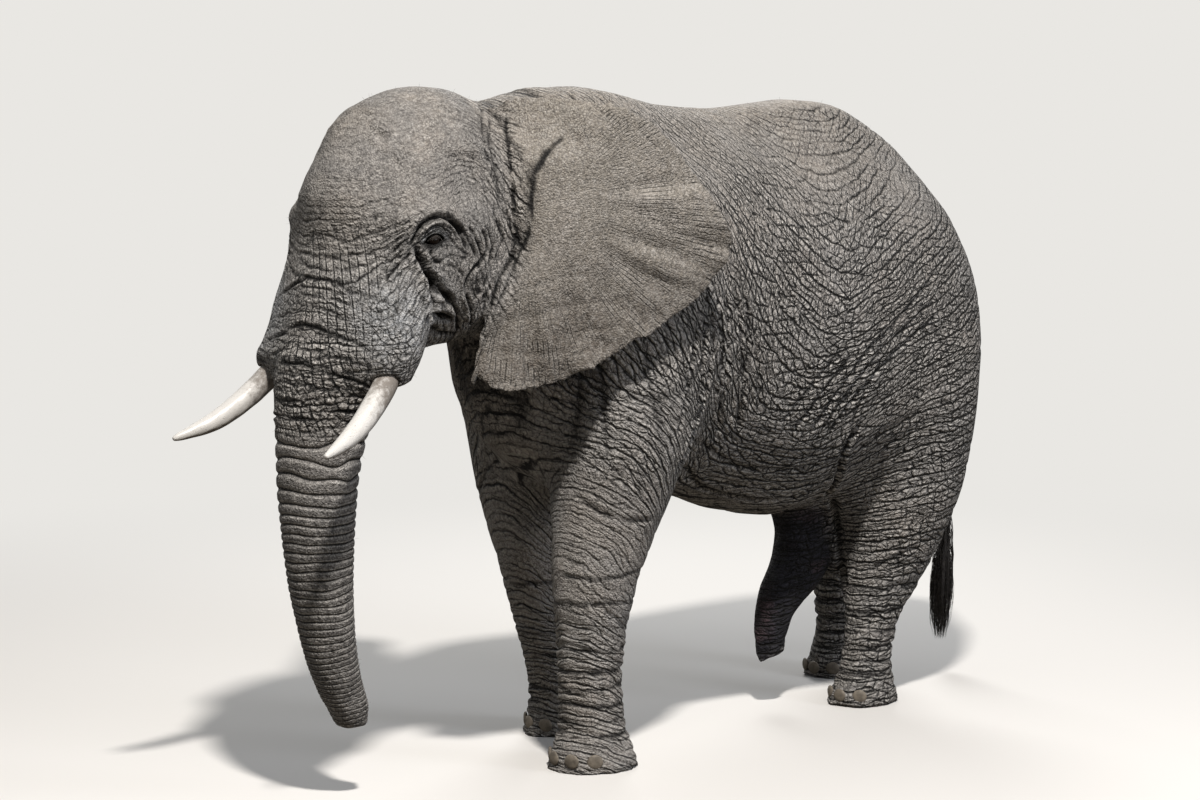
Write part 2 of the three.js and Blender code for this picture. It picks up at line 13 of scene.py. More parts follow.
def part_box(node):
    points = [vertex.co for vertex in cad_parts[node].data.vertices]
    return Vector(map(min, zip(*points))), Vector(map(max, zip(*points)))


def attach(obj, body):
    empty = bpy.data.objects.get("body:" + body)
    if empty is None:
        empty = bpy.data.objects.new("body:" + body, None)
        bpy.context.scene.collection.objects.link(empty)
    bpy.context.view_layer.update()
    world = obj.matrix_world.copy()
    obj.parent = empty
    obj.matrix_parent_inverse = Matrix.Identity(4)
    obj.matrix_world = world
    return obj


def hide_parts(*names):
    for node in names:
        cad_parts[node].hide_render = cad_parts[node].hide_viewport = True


bl_info = {
    "name": "Museum Elephant",
    "version": (1, 0, 0),
    "blender": (4, 5, 0),
    "location": "View3D > Sidebar > Elephant",
    "description": "Builds the skin, eyes, tusks, nails and hair of a life-size elephant figure",
    "category": "Object",
}

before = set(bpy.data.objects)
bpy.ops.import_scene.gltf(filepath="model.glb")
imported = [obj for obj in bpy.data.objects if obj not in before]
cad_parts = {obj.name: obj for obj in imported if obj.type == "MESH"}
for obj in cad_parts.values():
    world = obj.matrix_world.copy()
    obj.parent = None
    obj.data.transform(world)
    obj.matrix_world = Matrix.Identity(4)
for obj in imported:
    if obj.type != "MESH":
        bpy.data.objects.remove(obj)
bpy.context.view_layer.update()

SIDES = (1, -1)
LEGS = ("front_left", "front_right", "hind_left", "hind_right")
EARS = ("ear_left", "ear_right")
TRUNK = ("trunk_upper", "trunk_middle", "trunk_lower")
FLESH = ("head", "neck", "torso", "genital_sheath", *TRUNK, "tail", *EARS,
         *(f"leg_{leg}" for leg in LEGS), *(f"foot_{leg}" for leg in LEGS))
EYES = ("eye_left", "eye_right")
TUSKS = ("tusk_left", "tusk_right")
NAILS = tuple(sorted(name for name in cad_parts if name.startswith("nail_")))

EYE = sum(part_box("eye_left"), Vector()) / 2
EYE_RADIUS = (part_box("eye_left")[1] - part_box("eye_left")[0]).z / 2
EYE_TURN = math.radians(24)  # how far each eye looks forward of straight sideways
EAR_ROOT = (0.415, -1.345)  # where the ear's sheet leaves the head, on the left side
EAR_SPREAD = math.radians(25)  # how far the ear's sheet stands out from the body
EAR_HUB = (0.10, 2.48)  # back from the root, and height: where the ear's wrinkles spread from
FEET = {leg: sum(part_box(f"foot_{leg}"), Vector()) / 2 for leg in LEGS}
SHEATH_END = 0.22  # the share of the sheath's length that its blunt end takes
LID = 0.0042  # how thick the lids are over the ball
LID_REACH = 0.105  # how far from the ball's middle the folds of the lids go
LEG_REACH = 0.62  # how far from the middle of a foot its leg's folds go
RIM_BINS = 180  # directions in which the ear's reach is measured
HAIR_SIDES = 3
PATCH = 0.003  # width of a hair's patch on the map

CAMERA_PLACE = (9.7075, -10.7258, 3.0)
CAMERA_TURN = (math.radians(90 - 5.799), 0, math.radians(43))
LAMPS = (  # name, place, size, share of the main lamp's power, colour
    ("key_lamp", (6.2, -5.4, 11.8), 0.9, 1, "#fffaf5"),
    ("side_lamp", (9.5, 3.0, 4.0), 4.0, 0.12, "#eef3ff"),
    ("back_lamp", (-6.0, 7.0, 7.0), 4.0, 0.26, "#ffffff"),
)
LIT = Vector((0, 0, 1.5))  # the point that every lamp faces


# ---------------------------------------------------------------------------------- plain helpers
def deselect():
    if bpy.context.mode != "OBJECT":
        bpy.ops.object.mode_set(mode="OBJECT")
    bpy.ops.object.select_all(action="DESELECT")


def pick(*objects):
    deselect()
    for each in objects:
        each.select_set(True)
    bpy.context.view_layer.objects.active = objects[0]


def copy_of(names, title):
    """One new object with the shapes of these nodes, their loose triangles merged."""
    copies = []
    for name in names:
        piece = bpy.data.objects.new(title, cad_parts[name].data.copy())
        bpy.context.collection.objects.link(piece)
        copies.append(piece)
    pick(*copies)
    if len(copies) > 1:
        bpy.ops.object.join()
    whole = copies[0]
    whole.data.materials.clear()
    bpy.ops.object.mode_set(mode="EDIT")
    bpy.ops.mesh.select_all(action="SELECT")
    bpy.ops.mesh.remove_doubles(threshold=1e-5)
    bpy.ops.mesh.customdata_custom_splitnormals_clear()
    bpy.ops.object.mode_set(mode="OBJECT")
    return whole


def modify(piece, kind, **settings):
    """Adds a modifier and applies it."""
    pick(piece)
    modifier = piece.modifiers.new(kind.title(), kind)
    for key, value in settings.items():
        setattr(modifier, key, value)
    bpy.ops.object.modifier_apply(modifier=modifier.name)


def points(piece):
    flat = np.empty(len(piece.data.vertices) * 3, np.float32)
    piece.data.vertices.foreach_get("co", flat)
    return flat.reshape(-1, 3).astype(float)


def normals(piece):
    flat = np.empty(len(piece.data.vertices) * 3, np.float32)
    piece.data.vertices.foreach_get("normal", flat)
    return flat.reshape(-1, 3).astype(float)


def surface(piece):
    """The piece's faces, for finding what lies near them."""
    return BVHTree.FromPolygons(points(piece).tolist(), [p.vertices[:] for p in piece.data.polygons])


def shape_of(names):
    """The points of these nodes, and their faces."""
    shape = copy_of(names, "shape")
    found = points(shape), surface(shape)
    bpy.data.meshes.remove(shape.data)
    return found


def place(piece, where):
    piece.data.vertices.foreach_set("co", where.astype(np.float32).ravel())
    piece.data.update()


def step(low, high, value):
    """0 below low, 1 above high and smooth between them."""
    t = np.clip((value - low) / (high - low), 0, 1)
    return t * t * (3 - 2 * t)


def bell(distance, width):
    """1 at no distance, falling off smoothly over this width."""
    return np.exp(-((distance / width) ** 2))


def weigh(piece, name, weights):
    """A vertex group holding these weights, in 16 steps."""
    group = piece.vertex_groups.new(name=name)
    level = np.rint(np.clip(weights, 0, 1) * 16).astype(int)
    for value in range(1, 17):
        group.add(np.flatnonzero(level == value).tolist(), value / 16, "REPLACE")
    return group.name


def keep(piece, name, values):
    """Stores numbers on the vertices for the material: one each, or three each."""
    kind = "FLOAT" if values.ndim == 1 else "FLOAT_VECTOR"
    layer = piece.data.attributes.new(name, kind, "POINT")
    layer.data.foreach_set("value" if values.ndim == 1 else "vector", values.astype(np.float32).ravel())


def lattice(cell, seed):
    """A fixed number from 0 to 1 for each whole-numbered cell."""
    x, y, z = (cell[..., axis].astype(np.int64) for axis in range(3))
    h = (x * 73856093) ^ (y * 19349663) ^ (z * 83492791) ^ (seed * 2654435761 & 0x7FFFFFFF)
    h = (h ^ (h >> 13)) * 1274126177 & 0x7FFFFFFF
    h = (h ^ (h >> 16)) * 668265263 & 0x7FFFFFFF
    return ((h >> 7) & 0xFFFF) / 65535.0


def noise(where, size, seed):
    """Smooth noise from -1 to 1 whose bumps are about size across, in metres."""
    p = where / np.asarray(size)
    base = np.floor(p)
    f = p - base
    f = f * f * (3 - 2 * f)
    value = 0.0
    for corner in range(8):
        offset = np.array([corner & 1, corner >> 1 & 1, corner >> 2])
        value = value + np.prod(np.where(offset, f, 1 - f), axis=-1) * lattice(base + offset, seed)
    return 2 * value - 1


def curve(knots, spacing=0.006):
    """Points close together along a smooth line through the knots, and how far along each one is, 0 to 1."""
    knots = np.asarray(knots, float)
    ends = np.vstack([2 * knots[0] - knots[1], knots, 2 * knots[-1] - knots[-2]])
    line = []
    for a, b, c, d in zip(ends, ends[1:], ends[2:], ends[3:]):
        count = max(2, int(np.linalg.norm(c - b) / spacing))
        t = np.linspace(0, 1, count, endpoint=False)[:, None]
        line.append(0.5 * (2 * b + (c - a) * t + (2 * a - 5 * b + 4 * c - d) * t**2
                           + (3 * b - a - 3 * c + d) * t**3))
    line = np.vstack([*line, knots[-1:]])
    run = np.concatenate([[0], np.cumsum(np.linalg.norm(np.diff(line, axis=0), axis=1))])
    return line, run / run[-1]


def linear(colour):
    """sRGB hex to the linear colour that a node takes."""
    channels = [int(colour[i:i + 2], 16) / 255 for i in (1, 3, 5)]
    return (*(c / 12.92 if c <= 0.04045 else ((c + 0.055) / 1.055) ** 2.4 for c in channels), 1.0)


def hexcode(colour):
    """The sRGB hex of a colour property, which holds sRGB numbers."""
    return "#" + "".join(f"{round(255 * c):02x}" for c in colour[:3])


def shades(colour):
    return tuple(int(colour[i:i + 2], 16) / 255 for i in (1, 3, 5))


def material(title):
    """An empty material, and what adds nodes to it."""
    made = bpy.data.materials.new(title)
    made.use_nodes = True
    made.node_tree.nodes.clear()
    return made, partial(node, made.node_tree)


CHOICES = {"Mix": "data_type", "MapRange": "interpolation_type"}  # kinds whose second word isn't an operation


def node(tree, kind, *inputs, **settings):
    """Adds a node. Its kind may be followed by its operation, or by what CHOICES names. Its inputs come in
    order, each a value, a hex colour, None, or the node or output that it is linked from. A setting is one of
    the node's own, or names an input, with _ for each space."""
    kind, _, choice = kind.partition(" ")
    made = tree.nodes.new("ShaderNode" + kind)
    if choice:
        setattr(made, CHOICES.get(kind, "operation"), choice)
    named = []
    for key, value in settings.items():
        if hasattr(made, key):
            setattr(made, key, value)
        else:
            named.append((made.inputs[key.replace("_", " ")], value))
    for socket, value in [*zip([each for each in made.inputs if each.enabled], inputs), *named]:
        if isinstance(value, bpy.types.Node):
            value = next(each for each in value.outputs if each.enabled)
        if isinstance(value, bpy.types.NodeSocket):
            tree.links.new(value, socket)
        elif value is not None:
            socket.default_value = linear(value) if isinstance(value, str) else value
    return made


# ------------------------------------------------------------------------------- the skin's shape
# Folds of the left side: depth and width in mm (a ridge has a depth below 0), then the line's knots.
HEAD_FOLDS = (
    (5, 5, ((.372, -1.768, 2.332), (.381, -1.748, 2.373), (.390, -1.699, 2.395), (.394, -1.638, 2.383),
            (.387, -1.595, 2.342), (.388, -1.589, 2.305))),
    (22, 10, ((.354, -1.832, 2.301), (.369, -1.794, 2.364), (.376, -1.772, 2.400), (.387, -1.731, 2.424),
             (.390, -1.678, 2.428), (.397, -1.627, 2.406), (.388, -1.575, 2.367), (.391, -1.541, 2.314),
             (.389, -1.517, 2.276))),
    (11, 7, ((.384, -1.661, 2.453), (.396, -1.625, 2.416), (.389, -1.561, 2.372), (.392, -1.520, 2.324),
            (.389, -1.488, 2.275), (.388, -1.484, 2.238))),
    (14, 8, ((.391, -1.526, 2.392), (.392, -1.490, 2.343), (.392, -1.461, 2.300), (.391, -1.453, 2.258),
            (.386, -1.486, 2.212), (.379, -1.515, 2.177), (.374, -1.525, 2.140), (.368, -1.513, 2.108))),
    (14, 8, ((.391, -1.446, 2.373), (.393, -1.425, 2.336), (.393, -1.421, 2.288), (.391, -1.446, 2.247),
            (.386, -1.471, 2.206))),
    (13, 8, ((.391, -1.423, 2.393), (.393, -1.399, 2.345), (.392, -1.387, 2.298), (.392, -1.402, 2.256),
            (.390, -1.408, 2.214))),
    (13, 8, ((.391, -1.370, 2.413), (.391, -1.338, 2.359), (.391, -1.330, 2.311), (.391, -1.357, 2.275),
            (.391, -1.371, 2.234))),
    (15, 10, ((.358, -1.818, 2.334), (.368, -1.793, 2.292), (.379, -1.761, 2.240), (.388, -1.735, 2.187),
              (.378, -1.675, 2.137), (.354, -1.601, 2.096), (.348, -1.559, 2.062))),
    (30, 15, ((.367, -1.799, 2.292), (.379, -1.769, 2.230), (.389, -1.753, 2.178), (.390, -1.751, 2.126),
              (.389, -1.747, 2.064), (.397, -1.774, 1.998))),
    (45, 20, ((.386, -1.745, 2.215), (.388, -1.728, 2.160), (.387, -1.730, 2.100), (.384, -1.735, 2.030))),
    (5, 6, ((.372, -1.768, 2.291), (.381, -1.741, 2.259), (.387, -1.712, 2.243), (.385, -1.659, 2.256),
            (.386, -1.616, 2.270), (.387, -1.559, 2.257), (.388, -1.501, 2.260))),
    (5, 7, ((.388, -1.734, 2.223), (.386, -1.682, 2.216), (.385, -1.630, 2.229), (.383, -1.585, 2.216),
            (.379, -1.544, 2.188), (.379, -1.515, 2.177))),
    (-14, 14, ((.389, -1.736, 2.104), (.373, -1.670, 2.090), (.339, -1.594, 2.053), (.329, -1.547, 2.019))),
    (-20, 13, ((.365, -1.553, 2.115), (.357, -1.523, 2.071), (.343, -1.488, 2.021), (.326, -1.471, 1.988))),
    (16, 9, ((.352, -1.599, 2.091), (.341, -1.552, 2.046), (.318, -1.519, 1.995), (.283, -1.488, 1.950))),
    (12, 8, ((.369, -1.520, 2.114), (.360, -1.490, 2.059), (.341, -1.462, 2.004), (.314, -1.445, 1.965))),
    (30, 13, ((.385, -1.740, 2.032), (.312, -1.626, 2.027), (.316, -1.579, 2.009), (.315, -1.534, 1.996))),
    (12, 14, ((.382, -1.744, 1.975), (.264, -1.580, 1.949), (.260, -1.503, 1.939), (.282, -1.458, 1.943))),
    (16, 9, ((.411, -1.249, 2.293), (.396, -1.272, 2.251), (.394, -1.308, 2.210), (.402, -1.353, 2.160),
             (.399, -1.376, 2.108), (.391, -1.402, 2.045), (.374, -1.411, 1.992), (.371, -1.427, 1.940))),
    (8, 7, ((.447, -1.240, 2.347), (.424, -1.255, 2.272), (.418, -1.287, 2.210), (.416, -1.315, 2.158),
            (.415, -1.359, 2.087), (.404, -1.393, 2.025))),
    (14, 10, ((.395, -1.254, 2.557), (.384, -1.258, 2.488), (.389, -1.257, 2.409), (.406, -1.251, 2.335),
              (.411, -1.249, 2.293))),
    (12, 20, ((.440, -1.240, 2.555), (.466, -1.234, 2.585), (.484, -1.222, 2.618), (.500, -1.197, 2.667),
              (.506, -1.150, 2.708))),
    (12, 10, ((.484, -1.222, 2.618), (.500, -1.197, 2.667), (.506, -1.150, 2.708), (.507, -1.091, 2.740),
              (.507, -1.050, 2.755))),
    (10, 5, ((.357, -1.818, 2.354), (.328, -1.868, 2.309), (.296, -1.916, 2.253))),
    (9, 5, ((.355, -1.826, 2.319), (.327, -1.881, 2.268), (.300, -1.927, 2.208))),
    (8, 5, ((.340, -1.844, 2.360), (.307, -1.890, 2.314), (.283, -1.917, 2.289))),
    (10, 6, ((.365, -1.815, 2.293), (.346, -1.857, 2.253), (.328, -1.897, 2.213), (.312, -1.931, 2.172))),
    (7, 5, ((.386, -1.650, 2.350), (.387, -1.631, 2.341), (.387, -1.592, 2.307), (.389, -1.553, 2.281),
            (.388, -1.512, 2.263))),
    (9, 9, ((.378, -1.730, 2.296), (.382, -1.723, 2.271), (.387, -1.699, 2.246), (.386, -1.660, 2.238))),
    (20, 19, ((.388, -1.729, 2.191), (.383, -1.696, 2.140), (.350, -1.608, 2.085), (.344, -1.574, 2.059))),
    (6, 5, ((.384, -1.725, 2.335), (.371, -1.768, 2.322), (.367, -1.802, 2.330))),
    (-11, 15, ((.366, -1.819, 2.272), (.379, -1.790, 2.210), (.389, -1.782, 2.143), (.403, -1.793, 2.067),
               (.409, -1.813, 2.006), (.415, -1.841, 1.941))),
    (10, 12, ((.486, -1.223, 2.614), (.470, -1.233, 2.554), (.465, -1.236, 2.486), (.464, -1.236, 2.392),
              (.438, -1.242, 2.311), (.427, -1.256, 2.271))),
    (9, 8, ((.199, -1.210, 2.846), (.315, -1.327, 2.727), (.359, -1.343, 2.621), (.382, -1.337, 2.501),
            (.388, -1.287, 2.392), (.403, -1.254, 2.283))),
    (9, 8, ((.259, -1.173, 2.859), (.305, -1.211, 2.752), (.362, -1.250, 2.632), (.390, -1.256, 2.499),
            (.399, -1.254, 2.377))),
    (7, 8, ((.108, -1.186, 2.886), (.287, -1.337, 2.780), (.343, -1.374, 2.675), (.361, -1.373, 2.595))),
    (7, 6, ((.357, -1.369, 2.615), (.356, -1.282, 2.617), (.409, -1.240, 2.626))),
    (14, 45, ((.300, -1.639, 2.705), (.329, -1.520, 2.637), (.350, -1.429, 2.596))),
    (-12, 32, ((.313, -1.873, 2.383), (.366, -1.778, 2.447), (.384, -1.649, 2.457), (.388, -1.523, 2.426))),
)
BODY_FOLDS = (
    (30, 15, ((.629, -.312, 2.032), (.629, -.278, 1.813), (.601, -.311, 1.596), (.604, -.392, 1.428),
              (.600, -.478, 1.283))),
    (18, 13, ((.611, -.180, 2.090), (.615, -.149, 1.848), (.560, -.105, 1.576), (.430, -.046, 1.363))),
    (14, 13, ((.594, -.038, 2.105), (.597, .001, 1.838), (.541, .020, 1.567), (.431, .089, 1.329))),
    (16, 11, ((.629, -.326, 2.033), (.642, -.353, 1.862), (.624, -.351, 1.687), (.603, -.372, 1.470))),
    (17, 11, ((.622, -.245, 2.072), (.624, -.220, 1.897), (.583, -.158, 1.671), (.471, -.068, 1.435))),
    (13, 10, ((.606, -.113, 2.110), (.610, -.070, 1.932), (.577, -.013, 1.706), (.505, .056, 1.472),
              (.458, .078, 1.377))),
    (12, 10, ((.602, -.061, 2.062), (.600, .034, 1.881), (.581, .092, 1.676), (.534, .160, 1.489))),
    (13, 10, ((.643, -.394, 1.951), (.652, -.436, 1.781), (.652, -.473, 1.611), (.641, -.524, 1.442))),
    (13, 11, ((.535, .440, 1.353), (.635, .588, 1.568), (.674, .755, 1.751), (.656, 1.015, 1.882),
              (.581, 1.447, 2.120))),
    (11, 10, ((.547, .505, 1.348), (.636, .631, 1.535), (.670, .806, 1.706), (.652, 1.066, 1.832),
              (.598, 1.449, 2.019))),
    (12, 11, ((.559, .569, 1.344), (.636, .674, 1.502), (.666, .856, 1.661), (.649, 1.116, 1.783),
              (.616, 1.451, 1.918))),
    (11, 11, ((.535, .284, 1.434), (.620, .420, 1.611), (.663, .601, 1.783))),
    (11, 10, ((.535, .362, 1.393), (.628, .504, 1.590), (.668, .678, 1.767))),
    (25, 16, ((.238, 1.044, 1.007), (.182, 1.160, .880), (.187, 1.187, .684), (.174, 1.229, .483))),
    (12, 12, ((.328, 1.210, .638), (.404, 1.243, .690), (.478, 1.302, .740), (.514, 1.387, .763))),
    (13, 12, ((.312, 1.186, .504), (.379, 1.238, .544), (.436, 1.319, .574), (.413, 1.468, .540))),
    (12, 16, ((.500, -.300, 1.260), (.218, .115, 1.145), (.231, .380, 1.071), (.322, .630, 1.055),
              (.424, .761, 1.121))),
    (9, 14, ((.604, -.392, 1.428), (.385, .129, 1.268), (.431, .426, 1.208), (.504, .660, 1.230))),
    (24, 18, ((.300, .930, 1.000), (.390, .855, 1.096), (.549, .750, 1.282), (.610, .797, 1.422))),
    (10, 13, ((.549, .750, 1.282), (.644, .752, 1.520), (.668, .889, 1.742))),
    (8, 18, ((.534, -.763, 1.646), (.624, -.641, 1.622), (.653, -.449, 1.674))),
    (9, 13, ((.350, -.880, 1.250), (.399, -.869, 1.194), (.538, -.767, 1.110), (.571, -.581, 1.095))),
)
ROUGH = np.array((0.386, -1.441, 2.131))  # the rough patch behind the corner of the mouth
# heights, and how far the front of the face lies inside the solid head there
FACE_INSET = ((1.86, 1.95, 2.11, 2.27, 2.35, 2.43, 2.51, 2.59, 2.68, 2.76, 2.84, 2.92, 3.0),
              (0, .026, .030, .036, .032, .024, .010, .024, .050, .052, .046, .026, 0))
TRUNK_RINGS = (2.17, 2.06, 1.985, 1.91, 1.835, 1.76, 1.69, 1.62)  # the deep ones near the tusks
# heights, and how far apart the close rolls below the tusks are there
TRUNK_ROLLS = ((0.3, 0.6, 0.9, 1.2, 1.35, 1.6), (.022, .026, .034, .040, .062, .070))
LIMB_RINGS = {  # heights of the folds round each leg
    "front_left": (.155, .215, .285, .36, .44, .53, .63, .74, .86),
    "front_right": (.16, .22, .30, .38, .48, .60, .72),
    "hind_left": (.15, .21, .28, .36, .45, .56, .68),
    "hind_right": (.155, .22, .30, .38, .47, .58, .70),
}

MAIN_SPACING = 0.046  # between the long creases
# How the long creases lie, by place: metres tailwards, height, degrees above level, and how strong they are.
LIE = (
    (-2.10, 2.10, -6, 0.9), (-2.10, 1.60, -5, 1.1), (-2.05, 1.20, 0, 1.1), (-2.05, 0.85, 0, 1.1),
    (-2.00, 0.50, 0, 1.1), (-1.95, 0.20, 0, 0.9), (-1.97, 1.85, -20, 1.0), (-1.90, 1.30, 0, 1.0),
    (-1.97, 2.30, 8, 0.8), (-1.83, 2.30, 48, 0.9), (-1.92, 2.18, 52, 0.9), (-1.85, 2.02, 40, 0.7),
    (-1.60, 2.30, -8, 0.35), (-1.60, 2.50, 12, 0.25), (-1.80, 2.60, 10, 0.12),
    (-1.60, 2.80, 0, 0.12), (-1.95, 2.50, 6, 0.25), (-1.30, 2.85, -50, 0.35),
    (-1.30, 2.60, -80, 0.6), (-1.60, 2.10, -45, 0.5), (-1.48, 2.30, -80, 0.4),
    (-1.45, 2.15, -85, 0.5), (-1.40, 1.95, -75, 0.9), (-1.20, 2.40, -82, 0.8),
    (-1.10, 2.85, -60, 0.4), (-0.50, 2.80, -60, 0.4), (-0.90, 1.90, -65, 0.7),
    (-0.60, 1.90, -82, 0.8), (-0.81, 1.47, -40, 0.6), (-0.60, 1.30, -85, 0.8),
    (-0.80, 1.10, -6, 0.4), (-0.85, 0.84, -60, 0.5), (-0.70, 0.90, -57, 0.55),
    (-0.72, 0.62, -36, 0.9), (-0.70, 0.50, -28, 1.2), (-0.74, 0.41, -12, 1.3),
    (-0.75, 0.30, 2, 1.2), (-0.75, 0.15, 0, 0.9), (-0.34, 2.00, -80, 1.1), (-0.11, 2.06, -72, 1.1),
    (-0.02, 2.40, -76, 0.8), (-0.05, 2.62, -60, 0.45), (0.08, 2.24, -63, 1.0),
    (0.27, 2.39, -64, 0.8), (0.38, 2.24, -60, 1.0), (0.49, 2.42, -56, 0.5), (0.62, 2.23, -46, 0.8),
    (0.46, 1.97, -40, 1.1), (0.33, 1.75, -26, 1.0), (0.43, 1.63, 4, 1.0), (-0.31, 1.73, -82, 1.2),
    (0.00, 1.67, -66, 1.1), (0.42, 1.47, 36, 1.2), (0.55, 1.62, 40, 1.3), (-0.21, 1.47, -66, 1.1),
    (0.32, 1.29, -28, 1.0), (0.16, 1.18, -21, 0.9), (0.30, 0.95, -5, 0.6), (0.83, 1.99, 14, 1.1),
    (0.77, 1.80, 27, 1.1), (0.61, 1.51, 44, 1.3), (0.94, 2.21, 29, 0.8), (0.94, 2.08, 28, 1.0),
    (0.81, 1.79, 36, 1.1), (1.08, 1.96, 26, 1.1), (1.36, 1.99, 23, 1.0), (1.43, 1.90, 26, 1.1),
    (1.31, 1.75, 20, 1.3), (1.54, 1.84, 25, 1.2), (1.01, 1.42, 22, 1.2), (0.97, 1.21, 34, 1.1),
    (1.17, 1.33, 23, 1.1), (1.19, 1.06, 40, 1.0), (1.24, 0.74, 36, 1.1), (1.34, 0.95, 2, 0.9),
    (1.21, 0.51, -11, 0.9), (1.26, 0.45, -38, 0.9), (1.30, 0.20, -10, 0.8), (0.30, 2.75, -30, 0.3),
    (0.80, 2.60, 5, 0.3), (1.30, 2.45, 30, 0.4), (1.80, 2.15, 30, 0.8), (2.10, 1.80, 25, 1.1),
    (2.10, 1.40, 15, 1.1), (1.80, 1.20, 15, 1.1), (1.85, 0.80, 0, 0.9),
)


def flow(where):
    """Metres across the long creases, metres along them, and their strength, at each point.
    Both distances are smooth fields over the side view whose slopes come nearest to what LIE says."""
    cell, low, size = 0.05, np.array([-2.6, -0.1]), (104, 66)
    sides = (np.arange(count) * cell + start for count, start in zip(size, low))
    grid = np.stack(np.meshgrid(*sides, indexing="ij"), -1)
    table = np.array(LIE)
    near = 1 / (((grid[:, :, None] - table[:, :2]) ** 2).sum(-1) + 0.004) ** 2
    near /= near.sum(-1, keepdims=True)
    turn = np.radians(table[:, 2])
    slope = np.stack([near @ -np.sin(turn), near @ np.cos(turn)], -1)
    slope /= np.linalg.norm(slope, axis=-1, keepdims=True)
    waves = (2 * np.cos(2 * np.pi * np.fft.fftfreq(2 * count)) - 2 for count in size)
    bend = sum(np.meshgrid(*waves, indexing="ij"))
    bend[0, 0] = 1
    place_in = (where[:, 1:] - low) / cell
    corner = np.clip(np.floor(place_in).astype(int), 0, np.array(size) - 2)
    part = np.clip(place_in - corner, 0, 1)

    def sample(field):
        total = 0
        for i, j in ((0, 0), (0, 1), (1, 0), (1, 1)):
            share = (part[:, 0] if i else 1 - part[:, 0]) * (part[:, 1] if j else 1 - part[:, 1])
            total = total + share * field[corner[:, 0] + i, corner[:, 1] + j]
        return total

    fields = []
    for a, b in ((slope[..., 0], slope[..., 1]), (slope[..., 1], -slope[..., 0])):
        source = np.zeros(size)
        over, up = (a[1:] + a[:-1]) / 2 * cell, (b[:, 1:] + b[:, :-1]) / 2 * cell
        source[:-1] += over
        source[1:] -= over
        source[:, :-1] += up
        source[:, 1:] -= up
        whole = np.block([[source, source[:, ::-1]], [source[::-1], source[::-1, ::-1]]])
        fields.append(sample(np.fft.ifft2(np.fft.fft2(whole) / bend).real[:size[0], :size[1]]))
    return (*fields, sample(near @ table[:, 3]))


class Relief:
    """The skin's points with what the sculpting adds along their normals and tells the material."""

    def __init__(self, piece):
        self.rest = points(piece)
        self.normal = normals(piece)
        self.push = np.zeros(len(self.rest))
        self.crease_shade = np.zeros(len(self.rest))
        self.tree = surface(piece)

    def paint_shade(self, mark, which=slice(None)):
        """Paints shade onto these points, partly dirt: makes them at least this dark, from 0 to 1."""
        self.crease_shade[which] = np.maximum(self.crease_shade[which], mark)

    def gap(self, knots, reach, side):
        """Points within reach of a line laid on the skin: which, how far, and how far along."""
        line, along = curve(np.asarray(knots) * (side, 1, 1))
        found = [self.tree.find_nearest(Vector(p)) for p in line]
        line, facing = (np.array([each[part] for each in found]) for part in (0, 1))
        near = np.flatnonzero(((self.rest > line.min(0) - reach) & (self.rest < line.max(0) + reach)).all(1))
        far, where, same = [], [], []
        for chunk in np.array_split(near, max(1, len(near) * len(line) // 4_000_000)):
            apart = np.linalg.norm(self.rest[chunk][:, None] - line[None], axis=2)
            far.append(apart.min(1))
            nearest = apart.argmin(1)
            where.append(along[nearest])
            same.append((self.normal[chunk] * facing[nearest]).sum(1) > -0.2)
        far, where, same = (np.concatenate(each) for each in (far, where, same))
        close = (far < reach) & same
        return near[close], far[close], where[close]

    def fold(self, depth, width, knots, side, dark):
        """A groove between two low rolls, or a ridge, that fades out at both ends."""
        depth, width = depth / 1000, width / 1000
        which, far, along = self.gap(knots, 5 * width, side)
        wander = noise(self.rest[which], 0.03, 71) * width * 0.5
        fade = step(0, 0.12, along) * step(1, 0.88, along)
        d = np.abs(far + wander)
        if depth > 0:
            shape = -bell(d, width) + 0.3 * bell(d - 2.1 * width, width)
            # painted shade, partly dirt, along the floor of the groove
            mark = bell(d, 0.55 * width) * min(1, depth / 0.010) * dark * (width < 0.03)
            self.paint_shade(mark * fade, which)
        else:
            shape = -bell(d, width)
        self.push[which] += depth * shape * fade

    def ring(self, mask, height, level, depth, width, seed):
        """A groove round a limb or the trunk at this level, broken up by noise, with painted shade along it.
        """
        depth, width = depth / 1000, width / 1000
        which = np.flatnonzero((mask > 0.01) & (np.abs(height - level) < 6 * width + 0.05))
        at = self.rest[which]
        wander = noise(at, (0.16, 0.16, 0.3), seed) * 0.013 + noise(at, 0.045, seed + 1) * 0.006
        d = np.abs(height[which] - level + wander)
        strength = step(-0.75, 0.25, noise(at, (0.13, 0.13, 0.2), seed + 2)) * mask[which]
        self.push[which] += depth * strength * (
            -bell(d, width) + 0.45 * bell(d - 2.2 * width, 1.3 * width))
        # painted shade, partly dirt, along the groove
        mark = bell(d, 0.8 * width) * strength * min(1, depth / 0.010)
        self.paint_shade(mark, which)


def ridges(where, size, seed):
    """0 on a net of thin lines and up to 1 between them."""
    return np.minimum(1, np.abs(noise(where, size, seed)) * 3)


def turned(where, degrees):
    """The points turned about X, so that a pattern stretched along one axis runs aslant."""
    c, s = math.cos(math.radians(degrees)), math.sin(math.radians(degrees))
    x, y, z = where.T
    return np.stack([x, c * y + s * z, c * z - s * y], axis=1)


def to_left(where):
    """The same points, with those of the right side mirrored to the left."""
    return np.abs(where * (1, 0, 0)) + where * (0, 1, 1)


def ear_place(where):
    """How far back from the ear's root along its sheet, and how far out of the sheet."""
    x, y = np.abs(where[:, 0]) - EAR_ROOT[0], where[:, 1] - EAR_ROOT[1]
    s, c = math.sin(EAR_SPREAD), math.cos(EAR_SPREAD)
    return x * s + y * c, x * c - y * s


def by_ears(where):
    """Whether each point is in the stretch of the body that the ears cover."""
    return (where[:, 1] > -1.5) & (where[:, 1] < -0.3) & (where[:, 2] > 1.6)


